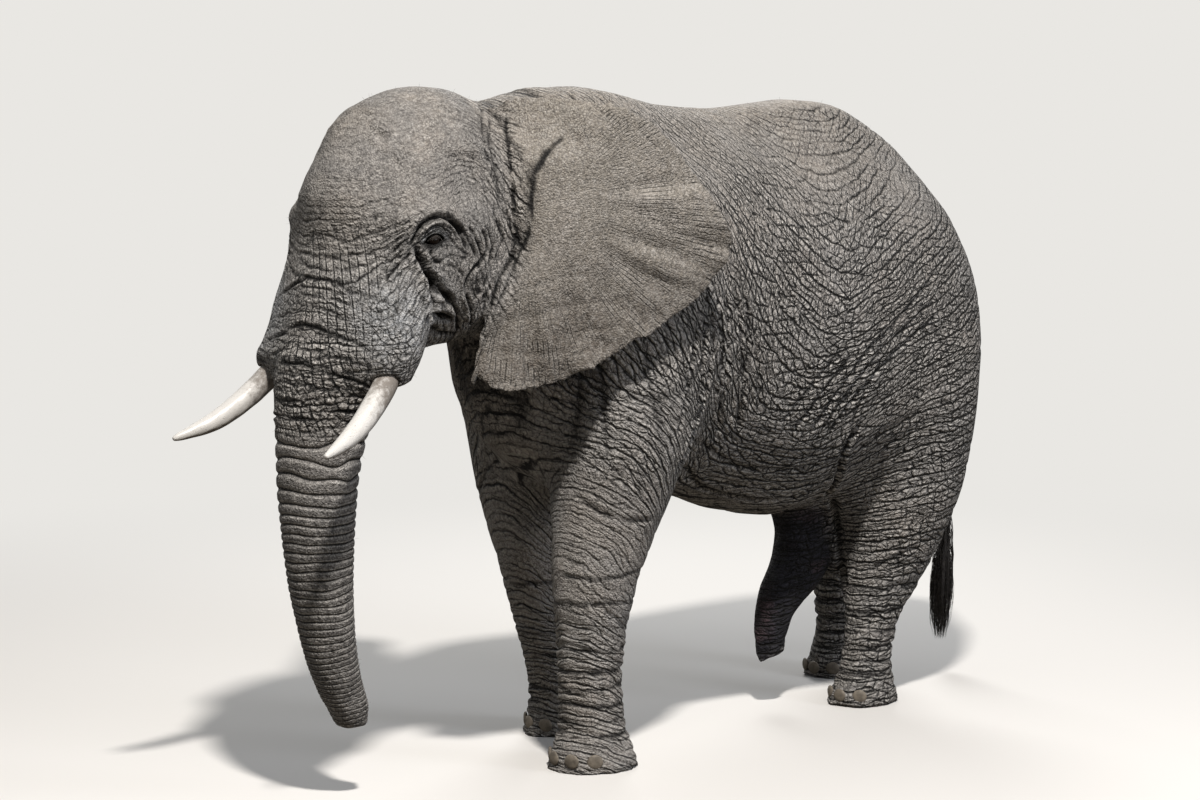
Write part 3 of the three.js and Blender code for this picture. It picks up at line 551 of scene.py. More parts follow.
def thin_ears(piece, settings):
    """Brings the two faces of each ear together. Returns where the ears are, and each point's direction and
    distance from the hub of the ear's wrinkles."""
    where, out = points(piece), normals(piece)
    (_, leaves), (_, skull), skin = shape_of(EARS), shape_of(("head", "neck")), surface(piece)
    mask = np.zeros(len(where))
    for index in np.flatnonzero(by_ears(where)):
        spot = Vector(where[index])
        if leaves.find_nearest(spot)[3] < 0.03:
            mask[index] = step(0.015, 0.11, skull.find_nearest(spot)[3])
    moved = where.copy()
    for index in np.flatnonzero(mask > 0):
        spot, way = Vector(where[index]), -Vector(out[index])
        hit = skin.ray_cast(spot + way * 0.002, way, 0.09)
        if hit[0] is not None:
            spare = max(0, hit[3] + 0.002 - settings.ear_thickness)
            moved[index] += way * spare / 2 * mask[index]
    back, _ = ear_place(where)
    turn = np.arctan2(where[:, 2] - EAR_HUB[1], back - EAR_HUB[0])
    reach = np.hypot(back - EAR_HUB[0], where[:, 2] - EAR_HUB[1])
    place(piece, moved)
    group = weigh(piece, "ears", mask)
    modify(piece, "SMOOTH", factor=0.5, iterations=5, vertex_group=group)
    piece.vertex_groups.clear()
    return mask, turn, reach


def eye_frame(side):
    """The middle of an eyeball, the way it looks, and the way from there to its front corner."""
    out = np.array([side * math.cos(EYE_TURN), -math.sin(EYE_TURN), 0.0])
    ahead = np.array([-side * math.sin(EYE_TURN), -math.cos(EYE_TURN), 0.0])
    return np.array([side * EYE.x, EYE.y, EYE.z]), out, ahead


def open_eye(relief, piece, settings, side, pale):
    """Wraps the skin round the ball as lids, with an almond opening between them. It paints shade in the folds
    of the lids, round the opening and in a pocket below it, and a pale highlight over the lids.
    """
    where = points(piece)
    centre, out, ahead = eye_frame(side)
    near = np.flatnonzero(np.linalg.norm(where - centre, axis=1) < LID_REACH)
    p = where[near] - centre
    a, b, c = p @ ahead, p[:, 2], p @ out
    long, high, low = settings.eye_length / 2, settings.eye_height * 0.56, settings.eye_height * 0.44
    b = b + 0.10 * a
    reach = np.where(b > 0, high, low)
    t = np.clip(np.abs(a) / long, 0, 1)
    half = reach * (1 - t**2) ** 0.75
    edge = np.where(np.abs(a) < long, np.abs(b) - half, np.hypot(np.abs(a) - long, b))
    covered = EYE_RADIUS + LID
    flat = a**2 + b**2
    ball = np.sqrt(np.maximum(covered**2 - flat, 0))
    seat = np.where(flat < covered**2, ball, -1.0)
    soft = 0.009  # how softly the lids run out into the face
    blend = np.clip(0.5 + 0.5 * (seat - c) / soft, 0, 1)
    lid = np.where(seat > c - soft, c + (seat - c) * blend + soft * blend * (1 - blend) * 0.5, c)
    upper = step(-0.006, 0.008, b)
    for at, deep, wide in ((0.0075, 0.0030, 0.0022), (0.0150, 0.0042, 0.0028), (0.0235, 0.0055, 0.0034),
                           (0.0335, 0.0060, 0.0045)):
        groove = bell(edge - at, wide)
        lid -= groove * deep * (0.35 + 0.65 * upper)
        # painted shade in the folds of the lids
        mark = groove * (0.30 + 0.3 * upper) * (edge > 0.003)
        relief.paint_shade(mark, near)
    inner = np.sqrt(np.maximum(EYE_RADIUS**2 - flat, 0)) - 0.006
    rim = step(0.0, -0.0030, edge)
    c_new = lid * (1 - rim) + inner * rim
    # painted shade round the opening and in a pocket below it, partly the dark wet skin of the lids
    painted_eye_shade = np.maximum(bell(np.maximum(edge, 0), 0.0045),
                        0.8 * bell(np.maximum(edge, 0), 0.020) * step(0.006, -0.012, b))
    relief.paint_shade(0.95 * painted_eye_shade, near)
    # a pale band over the lids, strongest on the upper lid: a painted highlight, kept in the lip zone
    pale[near] = np.maximum(pale[near], bell(edge - 0.012, 0.014) * (0.3 + 0.7 * upper))
    where[near] += np.outer(c_new - c, out)
    place(piece, where)


def refine(piece, keep_face):
    """Splits the faces whose middle passes the test."""
    middles = np.array([p.center for p in piece.data.polygons])
    chosen = keep_face(middles)
    pick(piece)
    bpy.ops.object.mode_set(mode="EDIT")
    bpy.ops.mesh.select_all(action="DESELECT")
    bpy.ops.mesh.select_mode(type="FACE")
    bpy.ops.object.mode_set(mode="OBJECT")
    piece.data.polygons.foreach_set("select", chosen)
    bpy.ops.object.mode_set(mode="EDIT")
    bpy.ops.mesh.subdivide(number_cuts=1, smoothness=0)
    bpy.ops.object.mode_set(mode="OBJECT")


def grow_skin(settings):
    """Joins the flesh into one smooth skin, a little inside the solids over the face."""
    piece = copy_of(FLESH, "skin")
    modify(piece, "REMESH", mode="VOXEL", voxel_size=settings.voxel, adaptivity=0)
    where = points(piece)
    y, z = where[:, 1], where[:, 2]
    modify(piece, "SMOOTH", factor=0.5, iterations=14)
    body = step(0.95, 1.25, z) * step(-1.35, -1.05, y) * step(2.06, 1.98, y)
    back, aside = ear_place(where)
    off_ear = 1 - step(0.02, 0.06, back) * step(-0.02, 0.03, aside) * by_ears(where)
    limbs = step(1.35, 1.1, z) * step(0.10, 0.22, z) * step(-1.2, -1.0, y) * step(2.0, 1.9, y)
    thin = near_nodes(where, ("genital_sheath", "tail"), 0.05) * step(0.96, 0.86, z + 0.9 * (y > 1.9))
    off_ear *= 1 - step(0.0, 0.4, thin)
    group = weigh(piece, "broad", np.maximum(body, 0.6 * limbs) * off_ear)
    modify(piece, "SMOOTH", factor=0.5, iterations=60, vertex_group=group)
    group = weigh(piece, "broadest", body * off_ear)
    modify(piece, "SMOOTH", factor=0.5, iterations=120, vertex_group=group)
    piece.vertex_groups.clear()
    where = points(piece) + normals(piece) * settings.swell
    where[:, 2] = np.where(where[:, 2] < 0.010, 0.0, where[:, 2])
    out, y, z = normals(piece), where[:, 1], where[:, 2]
    edge = np.interp(z, (2.45, 2.60), (-1.80, -1.40))
    inset = step(edge, edge - 0.2, y) * step(-0.3, -0.65, out[:, 1]) * np.interp(z, *FACE_INSET)
    where -= out * (1, 1, 0) * inset[:, None]
    where = blunt_sheath(where)
    place(piece, where)
    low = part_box("genital_sheath")[0]
    tip = by_sheath(where) * step(low.z + 0.13, low.z + 0.06, where[:, 2])
    group = weigh(piece, "tip", tip)
    modify(piece, "SMOOTH", factor=0.5, iterations=22, vertex_group=group)
    piece.vertex_groups.clear()
    return piece


def by_sheath(where):
    """Whether each point is in the column of air that the sheath hangs in."""
    low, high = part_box("genital_sheath")
    return (np.abs(where[:, 0]) < 0.16) & (where[:, 1] > low.y - 0.02) & (where[:, 1] < high.y + 0.02)


def blunt_sheath(where):
    """Rounds off the sheath's pointed end."""
    low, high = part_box("genital_sheath")
    tall = SHEATH_END * (high.z - low.z)
    y, z = where[:, 1], where[:, 2]
    front = by_sheath(where) & (z > low.z - 0.03) & (z < high.z) & (y < low.y + 0.6 * (high.y - low.y))
    end = front & (z < low.z + tall)
    ring = where[front & (np.abs(z - low.z - tall) < 0.012)]
    middle, wide = (ring.max(0) + ring.min(0))[:2] / 2, np.ptp(ring, axis=0)[:2] / 2
    away = where[end, :2] - middle
    far = np.hypot(*(away / wide).T)
    depth = np.clip((low.z + tall - z[end]) / tall, 0, 1)
    target = (1 - depth**3.5) ** (1 / 3.5)
    pointed = np.maximum(1 - depth, 0.05)
    scale = np.where(far > 0.02, np.minimum(target / pointed, 1.0 / np.maximum(far, 0.02)), 1)
    where[end, :2] = middle + away * np.maximum(scale, 1)[:, None]
    return where


def rim_bin(turn):
    return np.clip(((turn + math.pi) / (2 * math.pi) * RIM_BINS).astype(int), 0, RIM_BINS - 1)


def rim_reach(turn, reach, chosen):
    """How far out the ear's edge is, for each of these directions from its hub."""
    rim = np.zeros(RIM_BINS)
    np.maximum.at(rim, rim_bin(turn)[chosen], reach[chosen])
    return sum(np.roll(rim, shift) for shift in (-1, 0, 1)) / 3


def wave_ears(piece, mask, turn, reach):
    """Brings the ear's edge back to its full reach, folds the sheet along lines that spread from its hub, and
    nicks its edge."""
    where = points(piece)
    leaf = copy_of(EARS, "ear_shape")
    modify(leaf, "SUBSURF", subdivision_type="SIMPLE", levels=4, render_levels=4)
    back, _ = ear_place(points(leaf))
    up = points(leaf)[:, 2] - EAR_HUB[1]
    bpy.data.meshes.remove(leaf.data)
    full = rim_reach(np.arctan2(up, back - EAR_HUB[0]), np.hypot(up, back - EAR_HUB[0]), slice(None))
    which = np.flatnonzero(mask > 0.02)
    side = np.sign(where[which, 0])
    ones = np.ones(len(which))
    out, back = (np.stack([side * x, ones * y, ones * 0], axis=1)
                 for x, y in ((math.cos(EAR_SPREAD), -math.sin(EAR_SPREAD)),
                              (math.sin(EAR_SPREAD), math.cos(EAR_SPREAD))))
    t, r = turn[which], reach[which]
    now = rim_reach(t, r, mask[which] > 0.5)
    bins = rim_bin(t)
    grow = np.where(now > 0.2, np.clip(full / np.maximum(now, 0.2), 1, 1.16), 1)[bins]
    rim = full[bins]
    spread = (grow - 1) * r * step(0.55, 1.0, r / np.maximum(rim, 0.1)) * mask[which]
    fan = np.stack([t * 0.9, r, side * 3], axis=1)
    lower = step(0.40, -0.05, t)
    away = step(0.25, 0.75, r)
    lift = noise(where[which], (9, 0.30, 0.34), 201) * 0.010 * step(0.15, 0.5, r)
    lift += noise(fan, (0.10, 0.5, 1), 205) * 0.028 * away * lower
    fold = (1 - ridges(fan + noise(fan, 0.2, 202)[:, None] * 0.03, (0.050, 0.45, 1), 203)) ** 2
    lift -= fold * 0.009 * step(0.38, 0.72, r) * lower
    # level wrinkles in the lower front of the ear
    low_front = step(-0.1, -0.5, r * np.sin(t)) * step(0.55, 0.25, r * np.cos(t))
    wrinkle = (1 - ridges(where[which], (0.4, 0.34, 0.055), 207)) ** 2
    lift -= wrinkle * 0.009 * low_front
    low = step(0.25, -0.15, t) * step(-1.9, -1.5, t)  # only the rear and lower edge is nicked
    nick = np.maximum(0, noise(fan, (0.10, 9, 1), 204) - 0.15) * 0.020 * low
    pull = nick * step(rim - 0.05, rim, r) - spread
    radial = back * np.cos(t)[:, None] + np.array([0, 0, 1.0]) * np.sin(t)[:, None]
    lift += step(rim - 0.16, rim, r) * noise(fan, (0.12, 9, 1), 206) * 0.026 * lower
    short = (1 - ridges(fan, (0.033, 0.30, 1), 208)) ** 3
    lift -= short * 0.007 * step(rim - 0.24, rim - 0.06, r) * lower
    where[which] += out * (lift * mask[which])[:, None] - radial * (pull * mask[which])[:, None]
    place(piece, where)


def near_nodes(where, names, reach):
    """1 on the surface of these nodes, falling to 0 this far away."""
    shape, tree = shape_of(names)
    low, high = shape.min(0) - reach, shape.max(0) + reach
    share = np.zeros(len(where))
    for index in np.flatnonzero(((where > low) & (where < high)).all(1)):
        found = tree.find_nearest(Vector(where[index]), reach)[3]
        share[index] = 0 if found is None else 1 - found / reach
    return share


def regions(where, ears):
    """Where each part's own look lies, each from 0 to 1. The sheath's zone also runs up under the belly as
    painted shade.
    """
    x, y, z = np.abs(where[:, 0]), where[:, 1], where[:, 2]
    nose = step(2.50, 2.05, z) * np.where(z > 1.5, step(-1.62, -1.86, y) * step(0.42, 0.22, x),
                                          step(-1.6, -1.7, y))
    lip = np.exp(-((x - 0.33) ** 2 + (y + 1.90) ** 2 + (z - 2.02) ** 2) / 0.20**2) * (z > 1.5)
    nose = nose * (1 - 0.75 * lip)
    sheath = step(0.45, 0.85, near_nodes(where, ("genital_sheath",), 0.06)) * step(0.86, 0.78, z)
    # painted shade under the belly between the thighs, partly the sheath's dark skin
    root = step(0.20, 0.12, x) * step(0.88, 0.96, y) * step(1.45, 1.30, y) * step(1.06, 0.90, z) * (z > 0.5)
    sheath = np.maximum(sheath, root)
    limb = step(1.35, 0.85, z) * step(-1.4, -1.2, y) * (1 - sheath) * step(2.05, 1.95, y)
    head = step(-1.20, -1.38, y) * (1 - nose) * (1 - ears) * (z > 1.5)
    body = np.clip((1 - limb) * (1 - sheath) * (1 - head) * (1 - nose) * (1 - ears), 0, 1)
    return {"trunk": nose, "limb": limb, "sheath": sheath, "head": head, "ear": ears, "lip": lip,
            "body": body}


def roll_trunk(relief, masks, height):
    """Deep rings round the trunk by the tusks, and close rolls below them, square to the trunk's own line.
    Returns how many rolls lie below each point."""
    where = relief.rest
    dip = height + 0.30 * np.maximum(0, np.abs(where[:, 0]) - 0.06) * step(1.5, 1.7, height)
    for count, level in enumerate(TRUNK_RINGS):
        depth = 10 if count % 2 == 0 or count > 5 else 6
        relief.ring(masks["trunk"], dip, level, depth, 7.5, 300 + 7 * count)
    square = height - (0.05 + 0.14 * step(1.2, 0.6, height)) * (where[:, 1] + 1.95)
    fine = 0.002
    heights = np.arange(0, 2.4, fine)
    roll = np.interp(square, heights, np.cumsum(fine / np.interp(heights, *TRUNK_ROLLS)))
    roll += noise(where, (0.25, 0.25, 0.2), 471) * 0.45 + noise(where, 0.09, 472) * 0.22
    low_trunk = masks["trunk"] * step(1.62, 1.50, height)
    between = np.abs((roll + 0.5) % 1 - 0.5)
    relief.push -= 0.14 * np.interp(square, *TRUNK_ROLLS) * bell(between, 0.17) * low_trunk
    return roll


def ring_legs(relief, masks, height):
    """Folds round the wrists, ankles and knees."""
    where = relief.rest
    for leg, levels in LIMB_RINGS.items():
        centre = FEET[leg]
        on_leg = masks["limb"] * (np.hypot(where[:, 0] - centre.x, where[:, 1] - centre.y) < LEG_REACH)
        on_leg *= np.sign(where[:, 0]) == np.sign(centre.x)
        for count, level in enumerate(levels):
            depth = 7.0 if level < 0.5 else 5.5
            relief.ring(on_leg, height, level, depth, 9, 500 + 11 * count + len(leg) * 97)


def roll_hide(relief, masks, height):
    """Rolls of hide between the long creases of flank, haunch and legs. Returns the lie of the creases."""
    where = relief.rest
    across, along, strength = flow(where)
    across += noise(where, 0.26, 601) * 0.018 + noise(where, 0.09, 602) * 0.006
    along += noise(where, 0.22, 603) * 0.030
    strength *= 1 - masks["ear"]
    # the top of the croup is smooth, where the creases would close into rings
    strength *= 1 - 0.85 * step(0.75, 0.93, relief.normal[:, 2]) * step(0.3, 0.8, where[:, 1])
    apart = np.abs((across / (2 * MAIN_SPACING) + 0.5) % 1 - 0.5) * 2 * MAIN_SPACING
    patchy = step(-0.5, 0.3, noise(np.stack([across, along, where[:, 0]], 1), (0.09, 0.35, 0.3), 604))
    between = bell(apart, 0.013) * patchy * strength * (masks["body"] + masks["limb"])
    relief.push -= 0.006 * between
    apart = np.abs((across / MAIN_SPACING + 0.5) % 1 - 0.5) * MAIN_SPACING
    wrist = masks["limb"] * step(0.86, 0.66, height) * step(0.3, -0.1, where[:, 1])
    wrist = np.maximum(wrist, masks["limb"] * step(0.60, 0.45, height))
    wrist *= 1 - 0.6 * step(-0.1, 0.3, where[:, 1])  # gentler on the hind legs
    relief.push -= 0.0070 * bell(apart, 0.0085) * wrist * (0.4 + 0.6 * patchy)
    return np.stack([across, along, strength], axis=1)


def sculpt(piece, settings):
    """Folds, rings and wrinkles down to the size that the mesh can carry; finer ones are in the material."""
    ears, turn, reach = thin_ears(piece, settings)
    wave_ears(piece, ears, turn, reach)
    keep(piece, "ear_mask", ears)
    keep(piece, "ear_fan", np.stack([turn * 0.9, reach, ears], axis=1))
    refine(piece, lambda m: (m[:, 1] < -1.62) & (m[:, 2] < 2.3))
    refine(piece, lambda m: (np.abs(m[:, 0]) > 0.22) & (m[:, 1] < -1.36) & (m[:, 1] > -1.86)
           & (m[:, 2] > 1.90) & (m[:, 2] < 2.50))
    for middle, radius in ((np.array(EYE), 0.11), (np.array(EYE), 0.055), (ROUGH, 0.085), (ROUGH, 0.075)):
        refine(piece, lambda m: np.linalg.norm(to_left(m) - middle, axis=1) < radius)
    relief = Relief(piece)
    where = relief.rest
    masks = regions(where, read(piece, "ear_mask"))
    free = 1 - masks["ear"]
    height = where[:, 2]
    # soft unevenness of flesh under the hide
    relief.push += noise(where, 0.36, 11) * 0.009 * masks["body"]
    relief.push += noise(where, 0.13, 12) * 0.003 * free
    roll = roll_trunk(relief, masks, height)
    ring_legs(relief, masks, height)
    lie = roll_hide(relief, masks, height)
    # upright folds of the neck behind and under the ear, with painted shade in their grooves
    neck = step(-1.40, -1.25, where[:, 1]) * step(-0.45, -0.75, where[:, 1]) * step(1.3, 1.6, height) * free
    groove = (1 - ridges(turned(where, 90), (0.3, 0.5, 0.07), 651)) ** 2 * neck
    relief.push -= 0.007 * groove
    relief.paint_shade(0.5 * groove)
    # the drawn folds, with painted shade in their grooves, stronger on the head than on the body
    for side in SIDES:
        for folds, dark in ((HEAD_FOLDS, 0.9), (BODY_FOLDS, 0.4)):
            for depth, width, knots in folds:
                relief.fold(depth, width, knots, side, dark)
    # small warts on the rough patch, with painted shade in the hollows between them
    rough = np.exp(-((to_left(where) - ROUGH) ** 2).sum(1) / 0.052**2)
    lumps = noise(where, (0.014, 0.014, 0.022), 661)
    relief.push += rough * lumps * 0.009
    relief.paint_shade(rough * step(0.05, -0.35, lumps))
    held = 1 - 0.75 * masks["ear"]
    where = where + relief.normal * (relief.push * held)[:, None]
    where[:, 2] = np.maximum(where[:, 2], 0.0005)
    place(piece, where)
    for side in SIDES:
        open_eye(relief, piece, settings, side, masks["lip"])
    facing = np.abs(relief.normal[:, 0])
    keep(piece, "lie", lie)
    keep(piece, "front_zones", np.stack([masks["trunk"], masks["limb"], masks["head"]], axis=1))
    keep(piece, "rear_zones", np.stack([masks["sheath"], masks["lip"], step(0.45, 0.85, facing)], axis=1))
    keep(piece, "crease_shade", np.clip(relief.crease_shade, 0, 1))
    keep(piece, "roll", roll)


def read(piece, name):
    flat = np.empty(len(piece.data.vertices), np.float32)
    piece.data.attributes[name].data.foreach_get("value", flat)
    return flat.astype(float)


# ------------------------------------------------------------------------------------ materials
def lay_creases(add, lie, jump, sets):
    """Draws sets of creases: the hide's height, the painted shade in them, and the painted highlights on their
    rims.
    Each set runs square to the sum of two of the ways over the hide, times their shares. Then come the
    spacing, half the width, how far it is broken up across and along, how much is left of it there, how far
    each band between the main creases shifts it, the zone, the depth and how dark it is. In metres."""
    height = cracks = rims = 0.0
    for way, share, other, other_share, spacing, wide, fade, left, shift, zone, depth, dark in sets:
        run = add("Math MULTIPLY_ADD", way, share / spacing,
                  add("Math MULTIPLY", other, other_share / spacing))
        run = add("Math MULTIPLY_ADD", jump, shift, run)
        apart = add("Math PINGPONG", run, 0.5)
        stretched = add("VectorMath MULTIPLY_ADD", lie, (1 / fade[0], 1 / fade[1], 1 / 0.12),
                        (spacing * 999, 0, 0))
        patch = add("TexNoise", stretched, Scale=1.0, Detail=1.0)
        patch = add("Math MULTIPLY", add("MapRange SMOOTHSTEP", patch, *left, 1.0), zone)
        # the floor of the crease gets painted shade, partly dirt, its walls are bare relief, and its rims get
        # a painted highlight
        end = wide / spacing
        groove = add("MapRange SMOOTHSTEP", apart, 0.0, end, 1.0, 0.0)
        gap = add("MapRange SMOOTHSTEP", apart, 0.0, 0.55 * end, 1.0, 0.0)
        rim = add("Math MULTIPLY", add("MapRange", apart, 0.75 * end, 1.2 * end),
                  add("MapRange", apart, 1.2 * end, 2.0 * end, 1.0, 0.0))
        height, cracks, rims = (
            add("Math MULTIPLY_ADD", add("Math MULTIPLY", part, patch), factor, total)
            for part, factor, total in ((groove, -depth, height), (gap, dark, cracks),
                                        (rim, 0.6 * dark, rims)))
    return height, cracks, rims


def lay_tones(add, spot, colour, tones):
    """Each tone in patches over the colour: its zone, the size of the patches, where they begin and are full,
    and how strong it is."""
    for tone, zone, size, low, high, most in tones:
        patch = add("TexNoise", spot, Scale=1 / size, Detail=5.0, Roughness=0.65)
        patch = add("MapRange", patch, low, high, 0.25 * most, most)
        colour = add("Mix RGBA", add("Math MULTIPLY", zone, patch), colour, tone)
    return colour


def told(add, spot):
    """What the sculpting wrote on the skin's points, and where they are, by name."""
    on = {}
    for layer, names in (("lie", ("across", "along", "strength")), ("front_zones", ("trunk", "limb", "head")),
                         ("rear_zones", ("sheath", "lip", "side")), ("ear_fan", ("fan", "reach", "ear"))):
        vector = add("Attribute", attribute_name=layer).outputs["Vector"]
        on.update(zip(names, add("SeparateXYZ", vector).outputs))
    for name in ("crease_shade", "roll"):
        on[name] = add("Attribute", attribute_name=name).outputs["Fac"]
    on.update(zip("xyz", add("SeparateXYZ", spot).outputs))
    return SimpleNamespace(**on)


def hide_relief(add, spot, on):
    """The hide's height in metres, the painted shade of its cracks, the painted highlights on their rims, and
    its pebbles and lumps.
    """
    sway = add("TexNoise", spot, Scale=15.0, Detail=4.0, Roughness=0.55).outputs["Color"]
    lie = add("CombineXYZ", on.across, on.along, on.x)
    lie = add("VectorMath MULTIPLY_ADD", sway, (0.027, 0.034, 0.026), lie)
    across, along, _ = add("SeparateXYZ", lie).outputs

    # where the creases are far apart and deep, where they are close and fine, and where they are crossed
    low_trunk = add("Math MULTIPLY", on.trunk, add("MapRange", on.z, 1.62, 1.50))
    above = add("MapRange", low_trunk, 0.0, 1.0, 1.0, 0.12)
    smooth_leg = add("Math MULTIPLY", on.limb, add("MapRange", on.y, 0.1, -0.5))
    near_face = add("Math MAXIMUM", on.head, add("Math MAXIMUM", on.trunk, on.lip))
    facial = add("Math MULTIPLY", add("Math MULTIPLY", on.strength, near_face), above)
    coarse = add("Math MULTIPLY", on.strength, above)
    for zone, full, left in ((on.head, 1.0, 0.35), (on.lip, 0.7, 0.25), (on.trunk, 1.0, 0.45),
                             (smooth_leg, 1.0, 0.6)):
        coarse = add("Math MULTIPLY", coarse, add("MapRange", zone, 0.0, full, 1.0, left))
    blocky = add("Math MULTIPLY", on.trunk, above)
    hind = add("MapRange", on.y, -0.5, 0.1, 0.3, 1.0)
    crossed = add("Math MULTIPLY", add("Math MULTIPLY", coarse, on.side), hind)
    outer_ear = add("Math MULTIPLY", on.ear, add("MapRange", on.reach, 0.15, 0.60))
    band = add("Math FLOOR", add("Math MULTIPLY", across, 1 / MAIN_SPACING))
    jump = add("TexWhiteNoise", band, noise_dimensions="1D").outputs["Value"]
    height, cracks, rims = lay_creases(add, lie, jump, (
        # the long creases, finer ones between them, and two slanting sets and a crossing one
        (across, 1, along, 0, MAIN_SPACING, 0.0085, (0.05, 0.34), (0.38, 0.5, 0.18), 0, coarse, 0.0095, 0.95),
        (across, 1, along, 0, MAIN_SPACING / 2, 0.0055, (0.03, 0.15), (0.43, 0.57, 0), 0, coarse, .0035, 0.6),
        (across, 0.9, along, 0.43, 0.037, 0.0066, (0.07, 0.11), (0.42, 0.54, 0), 0, coarse, 0.0065, 0.8),
        (across, 0.9, along, -0.43, 0.039, 0.0066, (0.07, 0.11), (0.42, 0.54, 0), 0, coarse, 0.0065, 0.8),
        (along, 1, across, 0.12, 0.041, 0.0064, (0.05, 0.06), (0.40, 0.54, 0.1), 1, crossed, 0.0055, 0.8),
        # the face's fine lines
        (across, 1, along, 0, 0.0205, 0.0050, (0.03, 0.12), (0.38, 0.54, 0.1), 0, facial, 0.0030, 0.5),
        (across, 0.55, along, 0.84, 0.024, 0.0050, (0.04, 0.06), (0.42, 0.56, 0), 0, facial, 0.0030, 0.6),
        # upright cuts and close rolls of the trunk, and lines over the ear
        (on.x, 1, on.z, 0.30, 0.036, 0.0058, (0.04, 0.09), (0.36, 0.50, 0.10), 0.35, blocky, 0.0066, 0.9),
        (on.roll, 1, along, 0, 1.0, 0.17, (0.06, 0.30), (0.30, 0.44, 0.55), 0, low_trunk, 0.0050, 0.95),
        (on.fan, 1, on.reach, 0, 0.027, 0.0055, (0.05, 0.15), (0.46, 0.62, 0), 0, outer_ear, 0.0026, 0.35)))

    # small plates between the creases, longer along them than across
    bent = add("VectorMath MULTIPLY", lie, (1 / 0.024, 1 / 0.034, 1 / 0.028))
    plate = add("TexVoronoi", bent, 1.0, feature="DISTANCE_TO_EDGE")
    creased = add("Math MAXIMUM", coarse, facial)
    creased = add("Math MULTIPLY", creased, add("MapRange", smooth_leg, 0.0, 1.0, 1.0, 0.35))
    crack = add("MapRange SMOOTHSTEP", plate, 0.0, 0.13, 1.0, 0.0)
    crack = add("Math MULTIPLY", crack, creased)
    dome = add("MapRange SMOOTHSTEP", plate, 0.0, 0.5)
    dome = add("Math MULTIPLY", dome, creased)
    # the pebbled grain, drawn at 8 mm: the real one is finer, too fine to see
    grain = add("TexVoronoi", add("VectorMath MULTIPLY_ADD", sway, (0.02, 0.02, 0.02), spot), 1 / 0.008)
    lumps = add("TexNoise", spot, Scale=32.0, Detail=4.0, Roughness=0.6)
    for part, tall in ((crack, -0.0030), (dome, 0.0024), (grain.outputs["Distance"], -0.0030),
                       (lumps, 0.0050)):
        height = add("Math MULTIPLY_ADD", part, tall, height)
    pits = add("MapRange SMOOTHSTEP", grain.outputs["Distance"], 0.42, 0.85)
    pitted = add("TexNoise", spot, Scale=9.0, Detail=3.0)
    pitted = add("MapRange", pitted, 0.35, 0.65, 0.12, 0.55)
    # painted shade in the cracks between the plates and in the pits of the grain
    for part, dark in ((crack, 0.35), (add("Math MULTIPLY", pits, pitted), 0.6)):
        cracks = add("Math MULTIPLY_ADD", part, dark, cracks)
    # with the painted shade of the sculpted folds, rings and lids
    cracks = add("Math ADD", on.crease_shade, cracks, use_clamp=True)
    return height, cracks, rims, grain, lumps


def hide_colour(add, spot, on, settings, cracks, rims, grain):
    """Soil in broad patches, a pale lip with a painted highlight over the lids, painted shade under the belly,
    painted highlights on the rims of the creases, dust on the plates, and painted shade, partly dirt, in the
    cracks.
    """
    patches = add("TexNoise", spot, Scale=2.4, Detail=6.0, Roughness=0.62)
    colour = add("Mix RGBA", add("MapRange", patches, 0.40, 0.62), hexcode(settings.grey),
                 hexcode(settings.brown))
    upper = add("MapRange", on.z, 2.1, 2.9, 0.0, 0.8)
    drop = add("Math MULTIPLY", add("MapRange", on.z, 2.1, 1.2), add("MapRange", on.y, -1.5, -1.7))
    ear_low = add("Math MULTIPLY", on.ear, add("MapRange", on.z, 2.45, 1.95))
    # painted shade under the belly, away from the limbs
    painted_belly_shade = add("Math MULTIPLY", add("MapRange", on.z, 1.45, 0.95),
                add("MapRange", on.limb, 0.0, 0.6, 1.0, 0.0))
    # the lip's pale tone also lays the painted highlight over the lids
    colour = lay_tones(add, spot, colour, (
        ("#9b9286", upper, 0.30, 0.30, 0.60, 0.9), ("#706e6c", on.head, 0.16, 0.34, 0.60, 0.8),
        (hexcode(settings.ear), on.ear, 0.17, 0.20, 0.55, 0.95), ("#625b53", ear_low, 0.20, 0.20, 0.55, 0.9),
        ("#585757", drop, 0.30, 0.10, 0.50, 0.85), ("#4e4a47", painted_belly_shade, 0.30, 0.10, 0.50, 0.75),
        ("#b0b4b8", on.lip, 0.10, 0.25, 0.60, 0.9)))
    # painted highlight on the rims of the creases
    rim_highlight = add("MapRange", rims, 0.0, 0.8, 0.0, 0.64)
    colour = add("Mix RGBA", rim_highlight, colour, hexcode(settings.rim_highlight))
    # dust on the tops of the plates, and each pebble a little lighter or darker than the next
    speck = add("TexNoise", spot, Scale=46.0, Detail=6.0, Roughness=0.78)
    dusted = add("Math MULTIPLY", add("MapRange", speck, 0.44, 0.72),
                 add("MapRange", patches, 0.30, 0.66, 0.35, 0.85))
    colour = add("Mix RGBA", dusted, colour, hexcode(settings.dust))
    shade = add("SeparateXYZ", grain.outputs["Color"]).outputs[0]
    tinted = add("MapRange", shade, 0.0, 1.0, 0.72, 1.26)
    colour = add("Mix RGBA", 1.0, colour, add("CombineXYZ", tinted, tinted, tinted),
                 blend_type="MULTIPLY")
    # the sheath's own dark skin, which also stands for painted shade under the belly
    sheath_skin_and_shade = add("MapRange", add("TexNoise", spot, Scale=8.0, Detail=4.0), 0.52, 0.70)
    sheath_skin_and_shade = add("Mix RGBA", sheath_skin_and_shade, "#2a2930", "#534448")
    colour = add("Mix RGBA", on.sheath, colour, sheath_skin_and_shade)
    # painted shade, partly dirt, in the cracks, creases and folds
    bare = add("Math POWER", add("Math SUBTRACT", 1.0, cracks), 2.2)
    colour = add("Mix RGBA", bare, hexcode(settings.crack), colour)
    return colour


